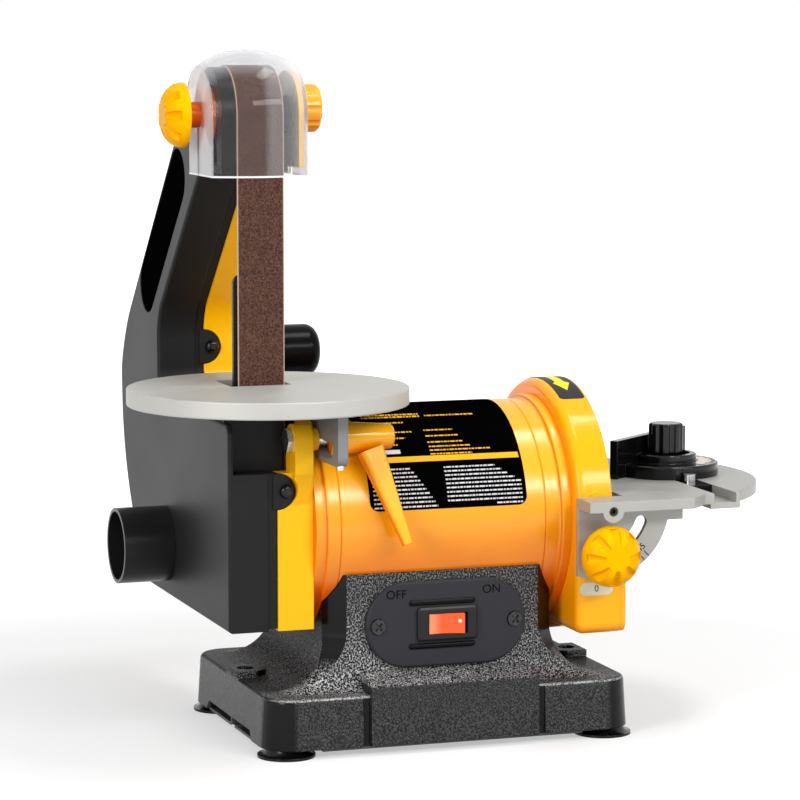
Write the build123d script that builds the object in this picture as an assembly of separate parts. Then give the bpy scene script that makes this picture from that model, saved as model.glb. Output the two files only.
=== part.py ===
from build123d import *
import math
import os

# Bench sander with a narrow belt on the left and a disc on the right, driven by one motor.
# X runs along the motor shaft from the belt to the disc, -Y faces the operator and +Z is up.
# The origin lies on the bench, in the middle of the four feet. All sizes are in millimetres.

# Fits
RUN_FIT = 0.05
BOLT_FIT = 0.15
PART_GAP = 0.3
SEAT_GAP = 0.1
CUT_OVER = 1.0
SMALL_SCREW_R = 2.0

# Sanding belt and its three wheels
BELT_WIDTH = 25.4
BELT_LENGTH = 762.0
BELT_THICK = 1.0
BELT_GAP = 0.3
LOOP_TOLERANCE = 1e-6
BELT_X = -92.2
AXIS_Z = 116.0
DRIVE_R = 28.7
TOP_R = 24.7
TOP_Z = 334.0
REAR_R = 21.7
REAR_Z = 178.0
BEARING_R = 11.0
BEARING_WIDTH = 7.0
AXLE_R = 4.0
WHEEL_WIDTH = 24.0
WHEEL_RIM = 4.0
WHEEL_WEB = 6.0
WHEEL_HUB_R = 13.5
BEARING_LAND = 2.0
NUT_R = 9.0
NUT_THICK = 6.0

# Motor
MOTOR_R = 60.0
MOTOR_WALL = 3.5
SHELL_HALF = 57.5
BELL_RIM = 5.5
BELL_WEB = 4.5
BELL_STEP = 2.5
BELL_ROUND = 1.2
SEAM_BEVEL = 0.5
SHAFT_R = 7.5
SHAFT_SEAT_R = 6.0
SHAFT_THREAD_R = 5.0
SHAFT_LEFT = -111.5
SHAFT_RIGHT = 90.0
SHAFT_HOLE_R = 19.0
SHAFT_BEARING_R = 17.5
SHAFT_BEARING_WIDTH = 11.0
STATOR_HALF = 30.0
STATOR_BORE = 34.6
WINDING_REACH = 12.0
ROTOR_R = 34.0
ROTOR_OVER = 2.0
MOTOR_SCREW_PCD_R = 47.0
MOTOR_SCREW_R = 2.5
MOTOR_SCREW_HEAD = 3.0
MOTOR_SCREW_GRIP = 8.0

# Belt frame and belt cover, the two halves of one housing
HOUSING_LEFT = -116.8
HOUSING_SPLIT = -90.0
HOUSING_RIGHT = -70.5
HOUSING_WALL = 2.5
FRAME_PLATE = 3.5
HOUSING_FRONT = -52.0
HOUSING_BOTTOM = 64.4
HOUSING_TOP = 174.6
HOUSING_TAIL_Y = 113.0
HOUSING_BULGE = (156.0, 104.0)
BELT_ROOM = 1.5
ARM_WIDTH = 47.0
ARM_END = 28.0
HIP_SWELL = 4.9
HIP_RUN = 194.0
HIP_ANGLE = 22.0
HIP_R = 24.0
ARM_END_SWELL = -0.5
ARM_KNEE = (92.0, 219.0)
ARM_FOOT_Y = 91.6
ARM_FOOT_R = 15.0
REAR_ARC_START = -10.0
KNEE_R = 28.0
FRONT_CORNER_R = 6.0
WINDOW_SILL = 148.2
SHIELD_SETBACK = 12.5
SHIELD_ROOT = 8.0
SHIELD_GAP = 2.0
SEAM_STRIP = 5.5
SEAM_DEPTH = 1.2
POCKET_DEPTH = 1.2
POCKET_WIDTH = 32.0
POCKET_ENDS = ((18.1, 32.7), (13.8, 124.5))
COVER_EDGE_R = 2.0
LUG_R = 9.5
LUG_THICK = 2.5
LUG_SCREW = 4.8
LUG_CLEAR = 12.0
LUG_BOSS = 9.0
LOWER_LUG_Z = 138.5
UPPER_LUG_Z = 201.0
COVER_SCREW_R = 2.0
COVER_HEAD_R = 3.8
COVER_HEAD = 3.0
COVER_HEAD_ROUND = 2.2
COVER_SCREW_LENGTH = 10.5
PORT_R = 21.0
PORT_WALL = 2.0
PORT_Y = 76.5
PORT_Z = 93.2
PORT_END = -145.5

# Platen behind the belt
PLATEN_THICK = 3.0
PLATEN_TOP = 251.0
PLATEN_BOTTOM = 146.0
PLATEN_LEFT = -107.0
PLATEN_CORNER_R = 5.0
PLATEN_TAB = (154.5, 173.0)
PLATEN_TAB_BACK = 5.0
PLATEN_SCREW_Y = -8.0
PLATEN_SCREW_INSET = 4.5

# Round belt table and its trunnion
BELT_TABLE_R = 74.2
BELT_TABLE_Y = -42.0
TABLE_RISE = 27.5
BELT_TABLE_THICK = 9.0
BELT_SLOT_LEFT = -111.0
BELT_SLOT_RIGHT = -77.8
BELT_SLOT_FRONT = -37.0
BELT_SLOT_BACK = -5.0
SLOT_BEVEL = 5.0
TABLE_EDGE_R = 0.8
TILT_Y = -67.0
CLAMP_Y = -52.0
CLAMP_RISE = 17.3
CLAMP_R = 4.0
CLAMP_HEAD_R = 6.5
CLAMP_HEAD = 3.0
CLAMP_END = -36.0
TILT_MAX = 45.0
TRUNNION_THICK = 5.5
TRUNNION_FRONT = -88.7
TRUNNION_BACK = -40.0
TRUNNION_WALL = 2.5
TRUNNION_CORNER_R = 5.0
TRUNNION_CLEAR = 3.5
TRUNNION_FLANGE = 3.0
TRUNNION_FLANGE_WIDTH = 16.0
TRUNNION_FLANGE_SETBACK = 14.0
TRUNNION_SCREW_REACH = 6.0
TRUNNION_SCREW_INSET = 5.0
TRUNNION_SCREW_GRIP = 5.0
STOP_SCREW_R = 2.0
STOP_SCREW_Y = -84.0
STOP_SCREW_LENGTH = 4.0
EAR_LEFT = -83.0
EAR_RIGHT = -73.0
EAR_R = 8.5
EAR_BOSS_R = 6.0
EAR_PROUD = 1.6

# Clamp lever
HUB_R = 9.3
HUB_TIP_R = 6.6
HUB_END = -27.2
HUB_ROUND = 1.0
LEVER_ROOT_X = -41.1
LEVER_ROOT_DROP = (6.0, 6.0)
LEVER_TIP_X = -25.4
LEVER_TIP_DROP = (21.0, 55.0)
LEVER_ROOT_SIZE = (13.6, 9.0, 2.6)
LEVER_TIP_SIZE = (5.0, 5.0, 1.4)

# Top wheel head
CHEEK_THICK = 7.6
CHEEK_GAP = 0.4
CHEEK_LAND = 1.0
YOKE_R = 25.0
YOKE_BAND = 9.5
YOKE_FLOOR = 304.0
YOKE_BRIDGE = 4.0
YOKE_BAR = 8.0
YOKE_POST = 5.0
HOOD_EDGE_R = 26.0
HOOD_CROWN_R = 34.5
HOOD_WALL = 1.6
HOOD_SLIT = 3.4
HOOD_BOTTOM = 302.0
HOOD_BACK = 20.0
HOOD_BACK_ANGLE = 30.0
HEAD_PLATE = 2.6
HEAD_R = 23.4
HEAD_FLOOR = 306.5
YOKE_BOSS_R = 10.0
HEAD_FOOT = ((10.0, 3.0), (10.0, 36.0), (33.0, 36.0), (33.0, 3.0))
HEAD_SCREW_INSET = 23.0
HEAD_SCREW_DROPS = (12.0, 28.0)
STAR_R = 17.2
STAR_LENGTH = 11.6
STAR_REACH = 8.0
STEM_R = 6.8
STEM_FLANGE_R = 15.5
STEM_FLANGE = 3.0
TRACK_RISE = 3.0
TRACK_R = 12.8
TRACK_LENGTH = 9.6
TRACK_FLUTES = 10
TRACK_FLUTE_R = 3.0
TRACK_FLUTE_DEPTH = 0.7
TRACK_ROUND = 2.2
TRACK_COLLAR = 3.1
TRACK_COLLAR_R = 8.0
TRACK_STUD_R = 3.0

# Petal knobs, used on the clear hood and on the disc table's lock
KNOB_RIM = 2.0
KNOB_SHOULDER = (0.8, 0.72)
KNOB_CROWN = 0.45
PETALS = 8
PETAL_START = (0.4, 1.0)
PETAL_END = (0.92, 0.44)
PETAL_R = (1.3, 3.4)
PETAL_LIFT = (0.9, 2.1)

# Belt tension
TENSION_PIVOT_Y = 118.0
TENSION_PIVOT_Z = 140.0
TENSION_SWING = 8.0
TENSION_ARM = 6.0
TENSION_ARM_R = 12.0
TENSION_PIN_R = 5.0
TENSION_HEAD = 3.0
AXLE_HEAD = 2.5
GRIP_REACH = 15.6
GRIP_R = 15.4
GRIP_END = -3.0
GRIP_STUD_R = 4.0
GRIP_STUD_END = -30.0

# Disc and guard
DISC_R = 62.5
DISC_PLATE = 9.0
DISC_PAPER = 1.2
DISC_LEFT = 84.0
DISC_HUB_R = 15.0
DISC_HUB_LEFT = 76.0
GUARD_R = 71.0
GUARD_LEFT = 71.5
GUARD_RIM = 91.5
GUARD_LOWER_RIM = 96.3
GUARD_BACK = 3.5
GUARD_WALL = 4.0
GUARD_BOTTOM = 55.6
GUARD_STEP_Z = 88.0
GUARD_CORNER_R = 6.0
GUARD_EDGE_R = 5.0
GUARD_DISC_GAP = 1.2
LOWER_COVER = 3.0
LOWER_COVER_SCREW_Y = 60.5
LOWER_COVER_SCREW_Z = 64.0
LOWER_COVER_BOSS_R = 5.0
LOWER_COVER_GRIP = 9.0

# Disc table
DISC_TABLE_TOP = 130.6
DISC_TABLE_THICK = 5.7
DISC_TABLE_FRONT = 93.0
DISC_TABLE_EAR = 73.0
DISC_TABLE_LEFT = 69.6
DISC_TABLE_GAP = 2.0
DISC_TABLE_LIP = 1.0
DISC_TABLE_CHAMFER_X = 129.5
DISC_TABLE_MOUTH = 82.0
DISC_TABLE_R = 100.0
DISC_TABLE_OUTER = 198.0
MITER_SLOT_X = 152.3
MITER_SLOT_WIDTH = 12.8
MITER_SLOT_DEPTH = 5.2
CHANNEL_WALL = 2.2
CHANNEL_FLOOR = 3.0
PIVOT_X = 83.0
PIVOT_Z = 125.3
PIVOT_BOSS_R = 7.0
PIVOT_LUG_R = 6.0
PIVOT_LUG = 4.0
PIVOT_SCREW_R = 2.5
PIVOT_SCREW_INSET = 1.0
PIVOT_SOCKET = 3.0
PIVOT_KEY_R = 1.75
QUADRANT_GAP = 2.0
QUADRANT_R = 39.0
QUADRANT_SLOT_R = 24.3
QUADRANT_THICK = 3.0
QUADRANT_RIGHT = 130.0
QUADRANT_TOE = 8.0
QUADRANT_OVER = 6.0
QUADRANT_SLOT_FIT = 0.5
LOCK_STUD_R = 2.5
LOCK_KNOB_R = 16.4
LOCK_KNOB_LENGTH = 11.5
LOCK_NECK = 12.0
LOCK_STUD_REACH = 16.0
LOCK_STUD_INSET = 1.0

# Miter gauge
MITER_BAR_LENGTH = 118.0
MITER_BAR_FRONT = -50.0
MITER_PIVOT_Y = 0.0
MITER_ANGLE = 39.5
MITER_PLATE = 7.0
MITER_PLATE_R = 29.4
FENCE_REACH = (-37.4, 45.3)
FENCE_HEIGHT = 21.1
FENCE_THICK = 4.5
FENCE_OFFSET = 10.7
MITER_BOSS_R = 17.2
MITER_BOSS = 4.6
MITER_BOWL_R = 13.6
MITER_BOWL = 3.6
MITER_SEAT_R = 7.0
MITER_ROUND = 1.0
MITER_KNOB_R = 9.6
MITER_KNOB_TOP = 159.2
MITER_KNOB_LOBES = 8
MITER_KNOB_ROUND = 1.6
MITER_STUD_R = 3.0
MITER_FIT = 0.2
MITER_DENT_R = 2.6
MITER_DENT_DEPTH = 1.3
MITER_STUD_LENGTH = 22.0
POINTER_R = 1.5
POINTER_HEAD_R = 3.2
POINTER_HEAD = 4.0
POINTER_GRIP = 4.0
POINTER_GAP = 1.0

# Base
FOOT_X = 89.3
FOOT_Y = 63.2
FOOT_R = 15.4
FOOT_NECK_R = 11.0
FOOT_LIFT = 5.0
FOOT_BRIM = 1.4
FOOT_WAIST = 1.3
FOOT_CLEAR = 1.0
FOOT_SCREW_R = 2.5
FOOT_SCREW_HEAD_R = 5.0
FOOT_SCREW_HEAD = 1.5
FOOT_SCREW_TOP = 20.0
BASE_HALF_X = 103.0
BASE_HALF_Y = 78.0
BASE_CORNER_R = 18.0
BASE_TOP = 32.0
BASE_DRAFT = 3.5
BASE_EDGE_R = 2.5
BASE_WALL = 5.0
PANEL_HALF = 47.0
PANEL_TOP = 36.4
PANEL_RISE = 4.6
PANEL_PROUD = 0.8
GROOVE_WIDTH = 4.0
GROOVE_DEPTH = 2.0
ARCH_HALF = 40.0
ARCH_RISE = 5.0
SADDLE_HALF = 64.5
SADDLE_FLARE = 26.0
PEDESTAL_HALF = 54.0
PEDESTAL_HALF_Y = 57.0
PEDESTAL_FRONT_FLARE = 10.0
PEDESTAL_CORNER_FLARE = 30.0
PEDESTAL_TOP = 93.0
MOUNT_X = 93.2
MOUNT_TOP = 35.3
MOUNT_PAD_R = 11.0
MOUNT_COLUMN_R = 8.0
PAD_INSET = 2.0
MOUNT_HOLE_R = 4.75
BOTTOM_PLATE = 1.5
CAPACITOR_R = 15.0
CAPACITOR_LENGTH = 60.0
CAPACITOR_Y = 20.0
CAPACITOR_TAB = 8.0
CAPACITOR_TAB_WIDTH = 6.0
CAPACITOR_TAB_THICK = 1.0

# Switch
SWITCH_X = 1.0
SWITCH_Z = 65.0
SWITCH_PLATE_LENGTH = 90.0
SWITCH_PLATE_HEIGHT = 46.0
SWITCH_PLATE_THICK = 3.0
SWITCH_SCREW_SPAN = 77.0
SWITCH_SCREW_R = 1.75
SWITCH_SCREW_DEPTH = 8.0
SWITCH_HEAD_R = 4.0
SWITCH_HEAD = 2.4
CROSS_WIDTH = 1.2
CROSS_LENGTH = 5.2
PLATE_CHAMFER = 1.0
SWITCH_BODY_WIDTH = 26.0
SWITCH_BODY_HEIGHT = 15.0
BEZEL_WIDTH = 33.6
BEZEL_HEIGHT = 18.0
BEZEL_PROUD = 2.5
BEZEL_CORNER_R = 1.5
BEZEL_CHAMFER = 1.0
SWITCH_DEPTH = 11.0
ROCKER_WIDTH = 19.4
ROCKER_HEIGHT = 10.8
ROCKER_FRONT = 6.5
ROCKER_DIP = 1.5
ROCKER_BACK = 3.0
ROCKER_LIP = 3.0
ROCKER_HEEL = 3.2
ROCKER_PIN_R = 1.5
ROCKER_PIN_LENGTH = 13.5
ROCKER_SWAY = 1.3
ROCKER_TILT = 8.0
RIB_LENGTH = 37.2
RIB_SHIFT = -2.7
RIB_ROUND = 1.2
RIB_HEIGHT = 3.0
RIB_PROUD = 1.6
RIB_RISE = 11.7

# Sizes that follow from the ones above
TOP_Y = TOP_R - DRIVE_R
BELT_IN = BELT_GAP
BELT_OUT = BELT_GAP + BELT_THICK
BELT_LEFT = BELT_X - BELT_WIDTH / 2
BELT_RIGHT = BELT_X + BELT_WIDTH / 2
COVER_OUT = BELT_OUT + BELT_ROOM + HOUSING_WALL
FRAME_PLATE_LEFT = HOUSING_RIGHT - FRAME_PLATE
PLATEN_FRONT = -DRIVE_R - BELT_IN + PART_GAP
PLATEN_GRIP = PLATEN_THICK + FRAME_PLATE
TRUNNION_LEFT = HOUSING_RIGHT + EAR_PROUD + PART_GAP
TRUNNION_RIGHT = TRUNNION_LEFT + TRUNNION_THICK
CLAMP_Z = WINDOW_SILL + CLAMP_RISE
BELT_TABLE_TOP = CLAMP_Z + TABLE_RISE
TILT_Z = BELT_TABLE_TOP
BELT_TABLE_BOTTOM = BELT_TABLE_TOP - BELT_TABLE_THICK
TILT_R = math.hypot(CLAMP_Y - TILT_Y, TILT_Z - CLAMP_Z)
TILT_START = math.degrees(math.atan2(CLAMP_Y - TILT_Y, TILT_Z - CLAMP_Z))
STOP_SCREW_TOP = TILT_Z - TILT_R - CLAMP_R - 2 * PART_GAP
STOP_SCREW_BOTTOM = STOP_SCREW_TOP - STOP_SCREW_LENGTH
DISC_FACE = DISC_LEFT + DISC_PLATE + DISC_PAPER
DISC_TABLE_BOTTOM = DISC_TABLE_TOP - DISC_TABLE_THICK
DISC_TABLE_INNER = DISC_FACE + DISC_TABLE_GAP
CHEEK_LEFT = BELT_LEFT - CHEEK_GAP - CHEEK_THICK
YOKE_RIGHT = BELT_RIGHT + CHEEK_GAP
HEAD_LEFT = HOUSING_RIGHT
HEAD_RIGHT = HEAD_LEFT + HEAD_PLATE
HOOD_LEFT = HOUSING_LEFT - PART_GAP - HOOD_WALL
HOOD_RIGHT = HEAD_RIGHT + SEAT_GAP + HOOD_WALL
WHEEL_LEFT = BELT_X - WHEEL_WIDTH / 2
WHEEL_RIGHT = BELT_X + WHEEL_WIDTH / 2
STAR_RIGHT = HOOD_LEFT - STAR_REACH
TRACK_Z = TOP_Z + TRACK_RISE
AXLE_LEFT = CHEEK_LEFT + CHEEK_LAND
AXLE_RIGHT = (YOKE_RIGHT + HEAD_LEFT) / 2
STUD_LEFT = AXLE_RIGHT + CHEEK_LAND
TRUNNION_MID = (TRUNNION_LEFT + TRUNNION_RIGHT) / 2
TRUNNION_SCREW_TOP = BELT_TABLE_BOTTOM + TRUNNION_SCREW_GRIP
TENSION_LEFT = HOUSING_RIGHT + PART_GAP
TENSION_RIGHT = TENSION_LEFT + TENSION_ARM
ROCKER_Y = -PEDESTAL_HALF_Y
QUADRANT_BACK = GUARD_R + QUADRANT_GAP
LOCK_Z = PIVOT_Z - QUADRANT_SLOT_R
LOCK_STUD_BACK = -GUARD_R + GUARD_WALL - LOCK_STUD_INSET
LOCK_STUD_FRONT = -QUADRANT_BACK - QUADRANT_THICK - LOCK_STUD_REACH
PIVOT_SCREW_END = DISC_TABLE_FRONT - PIVOT_SCREW_INSET
MITER_BAR_TOP = DISC_TABLE_TOP
MITER_HEAD_BOTTOM = DISC_TABLE_TOP + PART_GAP
MITER_TOP = MITER_HEAD_BOTTOM + FENCE_HEIGHT
MITER_STUD_TOP = MITER_BAR_TOP + MITER_STUD_LENGTH
POINTER_Y = MITER_PIVOT_Y - MITER_PLATE_R - POINTER_GAP - POINTER_HEAD_R

# Places of repeated fasteners
FEET = [(x, y) for x in (-FOOT_X, FOOT_X) for y in (-FOOT_Y, FOOT_Y)]
SWITCH_SCREWS = [SWITCH_X - SWITCH_SCREW_SPAN / 2, SWITCH_X + SWITCH_SCREW_SPAN / 2]
MOTOR_SCREW_OFFSET = MOTOR_SCREW_PCD_R / math.sqrt(2)
MOTOR_SCREWS = [
    (y, AXIS_Z + z)
    for y in (-MOTOR_SCREW_OFFSET, MOTOR_SCREW_OFFSET)
    for z in (-MOTOR_SCREW_OFFSET, MOTOR_SCREW_OFFSET)
]
PLATEN_SCREWS = [
    (PLATEN_SCREW_Y, PLATEN_TAB[0] + PLATEN_SCREW_INSET),
    (PLATEN_SCREW_Y, PLATEN_TAB[1] - PLATEN_SCREW_INSET),
]
TRUNNION_FLANGE_FRONT = TRUNNION_FRONT + TRUNNION_FLANGE_SETBACK
TRUNNION_SCREW_X = TRUNNION_RIGHT + TRUNNION_SCREW_REACH
TRUNNION_SCREWS = [
    (TRUNNION_SCREW_X, TRUNNION_FLANGE_FRONT + TRUNNION_SCREW_INSET),
    (TRUNNION_SCREW_X, TRUNNION_BACK - TRUNNION_SCREW_INSET),
]
LOWER_COVER_SCREWS = [(y, LOWER_COVER_SCREW_Z) for y in (-LOWER_COVER_SCREW_Y, LOWER_COVER_SCREW_Y)]

# Solids stand on their low end
BASE_ALIGN = (Align.CENTER, Align.CENTER, Align.MIN)


def rod_x(radius, start, end, y, z):
    """Cylinder along X."""
    return Pos(start, y, z) * Rot(0, 90, 0) * Cylinder(radius, end - start, align=BASE_ALIGN)


def rod_y(radius, start, end, x, z):
    """Cylinder along Y."""
    return Pos(x, start, z) * Rot(-90, 0, 0) * Cylinder(radius, end - start, align=BASE_ALIGN)


def rod_z(radius, start, end, x, y):
    """Cylinder along Z."""
    return Pos(x, y, start) * Cylinder(radius, end - start, align=BASE_ALIGN)


def block(x, y, z):
    """Box from three (low, high) pairs."""
    size = [high - low for low, high in (x, y, z)]
    return Pos(x[0], y[0], z[0]) * Box(*size, align=(Align.MIN, Align.MIN, Align.MIN))


def slab_x(face, start, end):
    """Outline drawn in (y, z), extruded between two X positions."""
    return extrude(Plane.YZ.offset(start) * face, amount=end - start)


def slab_y(face, start, end):
    """Outline drawn in (x, z), extruded between two Y positions."""
    return extrude(Plane.XZ.offset(-end) * face, amount=end - start)


def slab_z(face, start, end):
    """Outline drawn in (x, y), extruded between two Z positions."""
    return extrude(Plane.XY.offset(start) * face, amount=end - start)


def turned_x(points, y, z):
    """Revolve an outline given as (x, radius) points about an axis along X."""
    face = make_face(Polyline(*points, close=True))
    return Pos(0, y, z) * revolve(face, Axis.X)


def polar(centre, radius, degrees):
    """Point at an angle, measured from the first axis towards the second."""
    angle = math.radians(degrees)
    return (centre[0] + radius * math.cos(angle), centre[1] + radius * math.sin(angle))


def arc_about(centre, radius, start, end):
    """Arc about a centre between two angles."""
    middle = (start + end) / 2
    return ThreePointArc(*[polar(centre, radius, a) for a in (start, middle, end)])


def halfway(first, second):
    """Point in the middle between two points."""
    return tuple((a + b) / 2 for a, b in zip(first, second))


def around(middle, width):
    """Low and high end of a width about its middle."""
    return (middle - width / 2, middle + width / 2)


def rounded(face, corner, radius):
    """Round the corner of an outline that lies nearest to a point."""
    vertex = min(face.vertices(), key=lambda v: math.hypot(v.X - corner[0], v.Y - corner[1]))
    return fillet(vertex, radius)


# The belt's loop, seen along X as (y, z)
def wheel_list(rear_y):
    return [(0.0, AXIS_Z, DRIVE_R), (rear_y, REAR_Z, REAR_R), (TOP_Y, TOP_Z, TOP_R)]


def strand_angles(wheels):
    """Direction of each straight strand, from one wheel to the next."""
    angles = []
    for (y1, z1, r1), (y2, z2, r2) in zip(wheels, wheels[1:] + wheels[:1]):
        lean = math.asin((r1 - r2) / math.hypot(y2 - y1, z2 - z1))
        angles.append(math.degrees(math.atan2(z2 - z1, y2 - y1) + lean))
    return angles


def loop_length(rear_y):
    """Length of the belt's middle line for a place of the rear wheel."""
    wheels = wheel_list(rear_y)
    angles = strand_angles(wheels)
    total = 0.0
    for i, (y1, z1, r1) in enumerate(wheels):
        y2, z2, r2 = wheels[(i + 1) % len(wheels)]
        turn = (angles[i] - angles[i - 1]) % 360
        total += math.sqrt((y2 - y1) ** 2 + (z2 - z1) ** 2 - (r1 - r2) ** 2)
        total += math.radians(turn) * (r1 + BELT_GAP + BELT_THICK / 2)
    return total


def find_rear_y():
    """Place of the rear wheel that takes up the belt's length."""
    low, high = DRIVE_R, BELT_LENGTH / 2
    while high - low > LOOP_TOLERANCE:
        middle = (low + high) / 2
        if loop_length(middle) > BELT_LENGTH:
            high = middle
        else:
            low = middle
    return low


REAR_Y = find_rear_y()
WHEELS = wheel_list(REAR_Y)
STRANDS = strand_angles(WHEELS)
ARM_NORMAL = STRANDS[1] - 90
TENSION_R = math.hypot(REAR_Y - TENSION_PIVOT_Y, REAR_Z - TENSION_PIVOT_Z)
TENSION_ANGLE = math.degrees(math.atan2(REAR_Z - TENSION_PIVOT_Z, REAR_Y - TENSION_PIVOT_Y))
GRIP_CENTRE = polar((TENSION_PIVOT_Y, TENSION_PIVOT_Z), TENSION_R + GRIP_REACH, TENSION_ANGLE)


def wheel_loop(offset):
    """Outline that runs round the three wheels at an offset from their rims."""
    edges = []
    for i, (y1, z1, r1) in enumerate(WHEELS):
        y2, z2, r2 = WHEELS[(i + 1) % len(WHEELS)]
        turn = (STRANDS[i] - STRANDS[i - 1]) % 360
        start = STRANDS[i - 1] - 90
        edges.append(arc_about((y1, z1), r1 + offset, start, start + turn))
        normal = STRANDS[i] - 90
        edges.append(Line(polar((y1, z1), r1 + offset, normal), polar((y2, z2), r2 + offset, normal)))
    return make_face(edges)


# Base and its fittings
def flared_wall(half, flare, root):
    """Upright block along Y, with side walls that flare out on to the base's top."""
    foot = half + flare
    knee = BASE_TOP + flare
    face = make_face(
        [
            Line((-foot, root), (foot, root)),
            Line((foot, root), (foot, BASE_TOP)),
            arc_about((foot, knee), flare, 270, 180),
            Line((half, knee), (half, PEDESTAL_TOP)),
            Line((half, PEDESTAL_TOP), (-half, PEDESTAL_TOP)),
            Line((-half, PEDESTAL_TOP), (-half, knee)),
            arc_about((-foot, knee), flare, 360, 270),
            Line((-foot, BASE_TOP), (-foot, root)),
        ]
    )
    return slab_y(face, -2 * BASE_HALF_Y, 2 * BASE_HALF_Y)


def base_casting():
    foot_plan = RectangleRounded(2 * BASE_HALF_X, 2 * BASE_HALF_Y, BASE_CORNER_R)
    body = extrude(Plane.XY.offset(FOOT_LIFT) * foot_plan, amount=BASE_TOP - FOOT_LIFT, taper=BASE_DRAFT)
    body = fillet(body.edges().group_by(Axis.Z)[-1], BASE_EDGE_R)
    front = BASE_HALF_Y + PANEL_PROUD
    ledge = PANEL_TOP + PANEL_RISE
    panel = make_face(
        Polyline(
            (-front, FOOT_LIFT),
            (-front + PANEL_PROUD, PANEL_TOP),
            (-PEDESTAL_HALF_Y, ledge),
            (PEDESTAL_HALF_Y, ledge),
            (front - PANEL_PROUD, PANEL_TOP),
            (front, FOOT_LIFT),
            close=True,
        )
    )
    body += slab_x(panel, -PANEL_HALF, PANEL_HALF)
    root_z = BASE_TOP - BASE_WALL
    corner = (PEDESTAL_HALF + PEDESTAL_HALF_Y) / math.sqrt(2)
    pedestal = flared_wall(SADDLE_HALF, SADDLE_FLARE, root_z)
    pedestal &= Rot(0, 0, 90) * flared_wall(PEDESTAL_HALF_Y, PEDESTAL_FRONT_FLARE, root_z)
    for turn in (45, 135):
        pedestal &= Rot(0, 0, turn) * flared_wall(corner, PEDESTAL_CORNER_FLARE, root_z)
    body += pedestal
    for side in (-1, 1):
        reach = sorted((side * MOUNT_X, side * (BASE_HALF_X - PAD_INSET)))
        inside = sorted((0, side * (BASE_HALF_X - PAD_INSET)))
        pad = rod_z(MOUNT_PAD_R, root_z, MOUNT_TOP, side * MOUNT_X, 0)
        pad += block(reach, (-MOUNT_PAD_R, MOUNT_PAD_R), (root_z, MOUNT_TOP))
        body += pad & block(inside, (-BASE_HALF_Y, BASE_HALF_Y), (root_z, MOUNT_TOP))
        body += rod_z(MOUNT_COLUMN_R, FOOT_LIFT, MOUNT_TOP, side * MOUNT_X, 0)

    # Hollow underside, open at the bottom
    inner_plan = RectangleRounded(
        2 * (BASE_HALF_X - BASE_WALL), 2 * (BASE_HALF_Y - BASE_WALL), BASE_CORNER_R - BASE_WALL
    )
    hollow = extrude(Plane.XY.offset(FOOT_LIFT) * inner_plan, amount=root_z - FOOT_LIFT, taper=BASE_DRAFT)
    hollow += block(
        (-PEDESTAL_HALF + BASE_WALL, PEDESTAL_HALF - BASE_WALL),
        (-PEDESTAL_HALF_Y + BASE_WALL, PEDESTAL_HALF_Y - BASE_WALL),
        (root_z, AXIS_Z - MOTOR_R - BASE_WALL),
    )
    for x, y in FEET:
        hollow -= rod_z(FOOT_NECK_R, FOOT_LIFT, BASE_TOP, x, y)
    for side in (-1, 1):
        hollow -= rod_z(MOUNT_COLUMN_R, FOOT_LIFT, BASE_TOP, side * MOUNT_X, 0)
    body -= hollow

    # Saddle for the motor, pocket for the switch and holes
    body -= rod_x(MOTOR_R + SEAT_GAP, -BASE_HALF_X, BASE_HALF_X, 0, AXIS_Z)
    pocket_y = (-PEDESTAL_HALF_Y - CUT_OVER, -PEDESTAL_HALF_Y + SWITCH_DEPTH + CUT_OVER)
    body -= block(around(SWITCH_X, BEZEL_WIDTH), pocket_y, around(SWITCH_Z, BEZEL_HEIGHT))
    for side in (-1, 1):
        body -= rod_z(MOUNT_HOLE_R, 0, MOUNT_TOP + CUT_OVER, side * MOUNT_X, 0)
    for x in SWITCH_SCREWS:
        depth = -PEDESTAL_HALF_Y + SWITCH_SCREW_DEPTH + BOLT_FIT
        body -= rod_y(SWITCH_SCREW_R + BOLT_FIT, -PEDESTAL_HALF_Y - CUT_OVER, depth, x, SWITCH_Z)
    for x, y in FEET:
        body -= rod_z(FOOT_SCREW_R + BOLT_FIT, 0, FOOT_SCREW_TOP + BOLT_FIT, x, y)

    # Arches in the two side walls, and grooves at the ends of the panel
    arch = make_face(
        Polyline(
            (-ARCH_HALF - ARCH_RISE, FOOT_LIFT - CUT_OVER),
            (-ARCH_HALF, FOOT_LIFT + ARCH_RISE),
            (ARCH_HALF, FOOT_LIFT + ARCH_RISE),
            (ARCH_HALF + ARCH_RISE, FOOT_LIFT - CUT_OVER),
            close=True,
        )
    )
    for side in (-1, 1):
        ends = sorted((side * (BASE_HALF_X + CUT_OVER), side * (BASE_HALF_X - BASE_WALL - PAD_INSET)))
        cut = slab_x(arch, *ends)
        body -= cut - rod_z(MOUNT_COLUMN_R, 0, BASE_TOP, side * MOUNT_X, 0)
        for front_back in (-1, 1):
            depth = sorted(front_back * y for y in (BASE_HALF_Y - GROOVE_DEPTH, BASE_HALF_Y + CUT_OVER))
            groove_x = around(side * (PANEL_HALF + GROOVE_WIDTH / 2), GROOVE_WIDTH)
            body -= block(groove_x, depth, (FOOT_LIFT - CUT_OVER, BASE_TOP + CUT_OVER))
    return body


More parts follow.
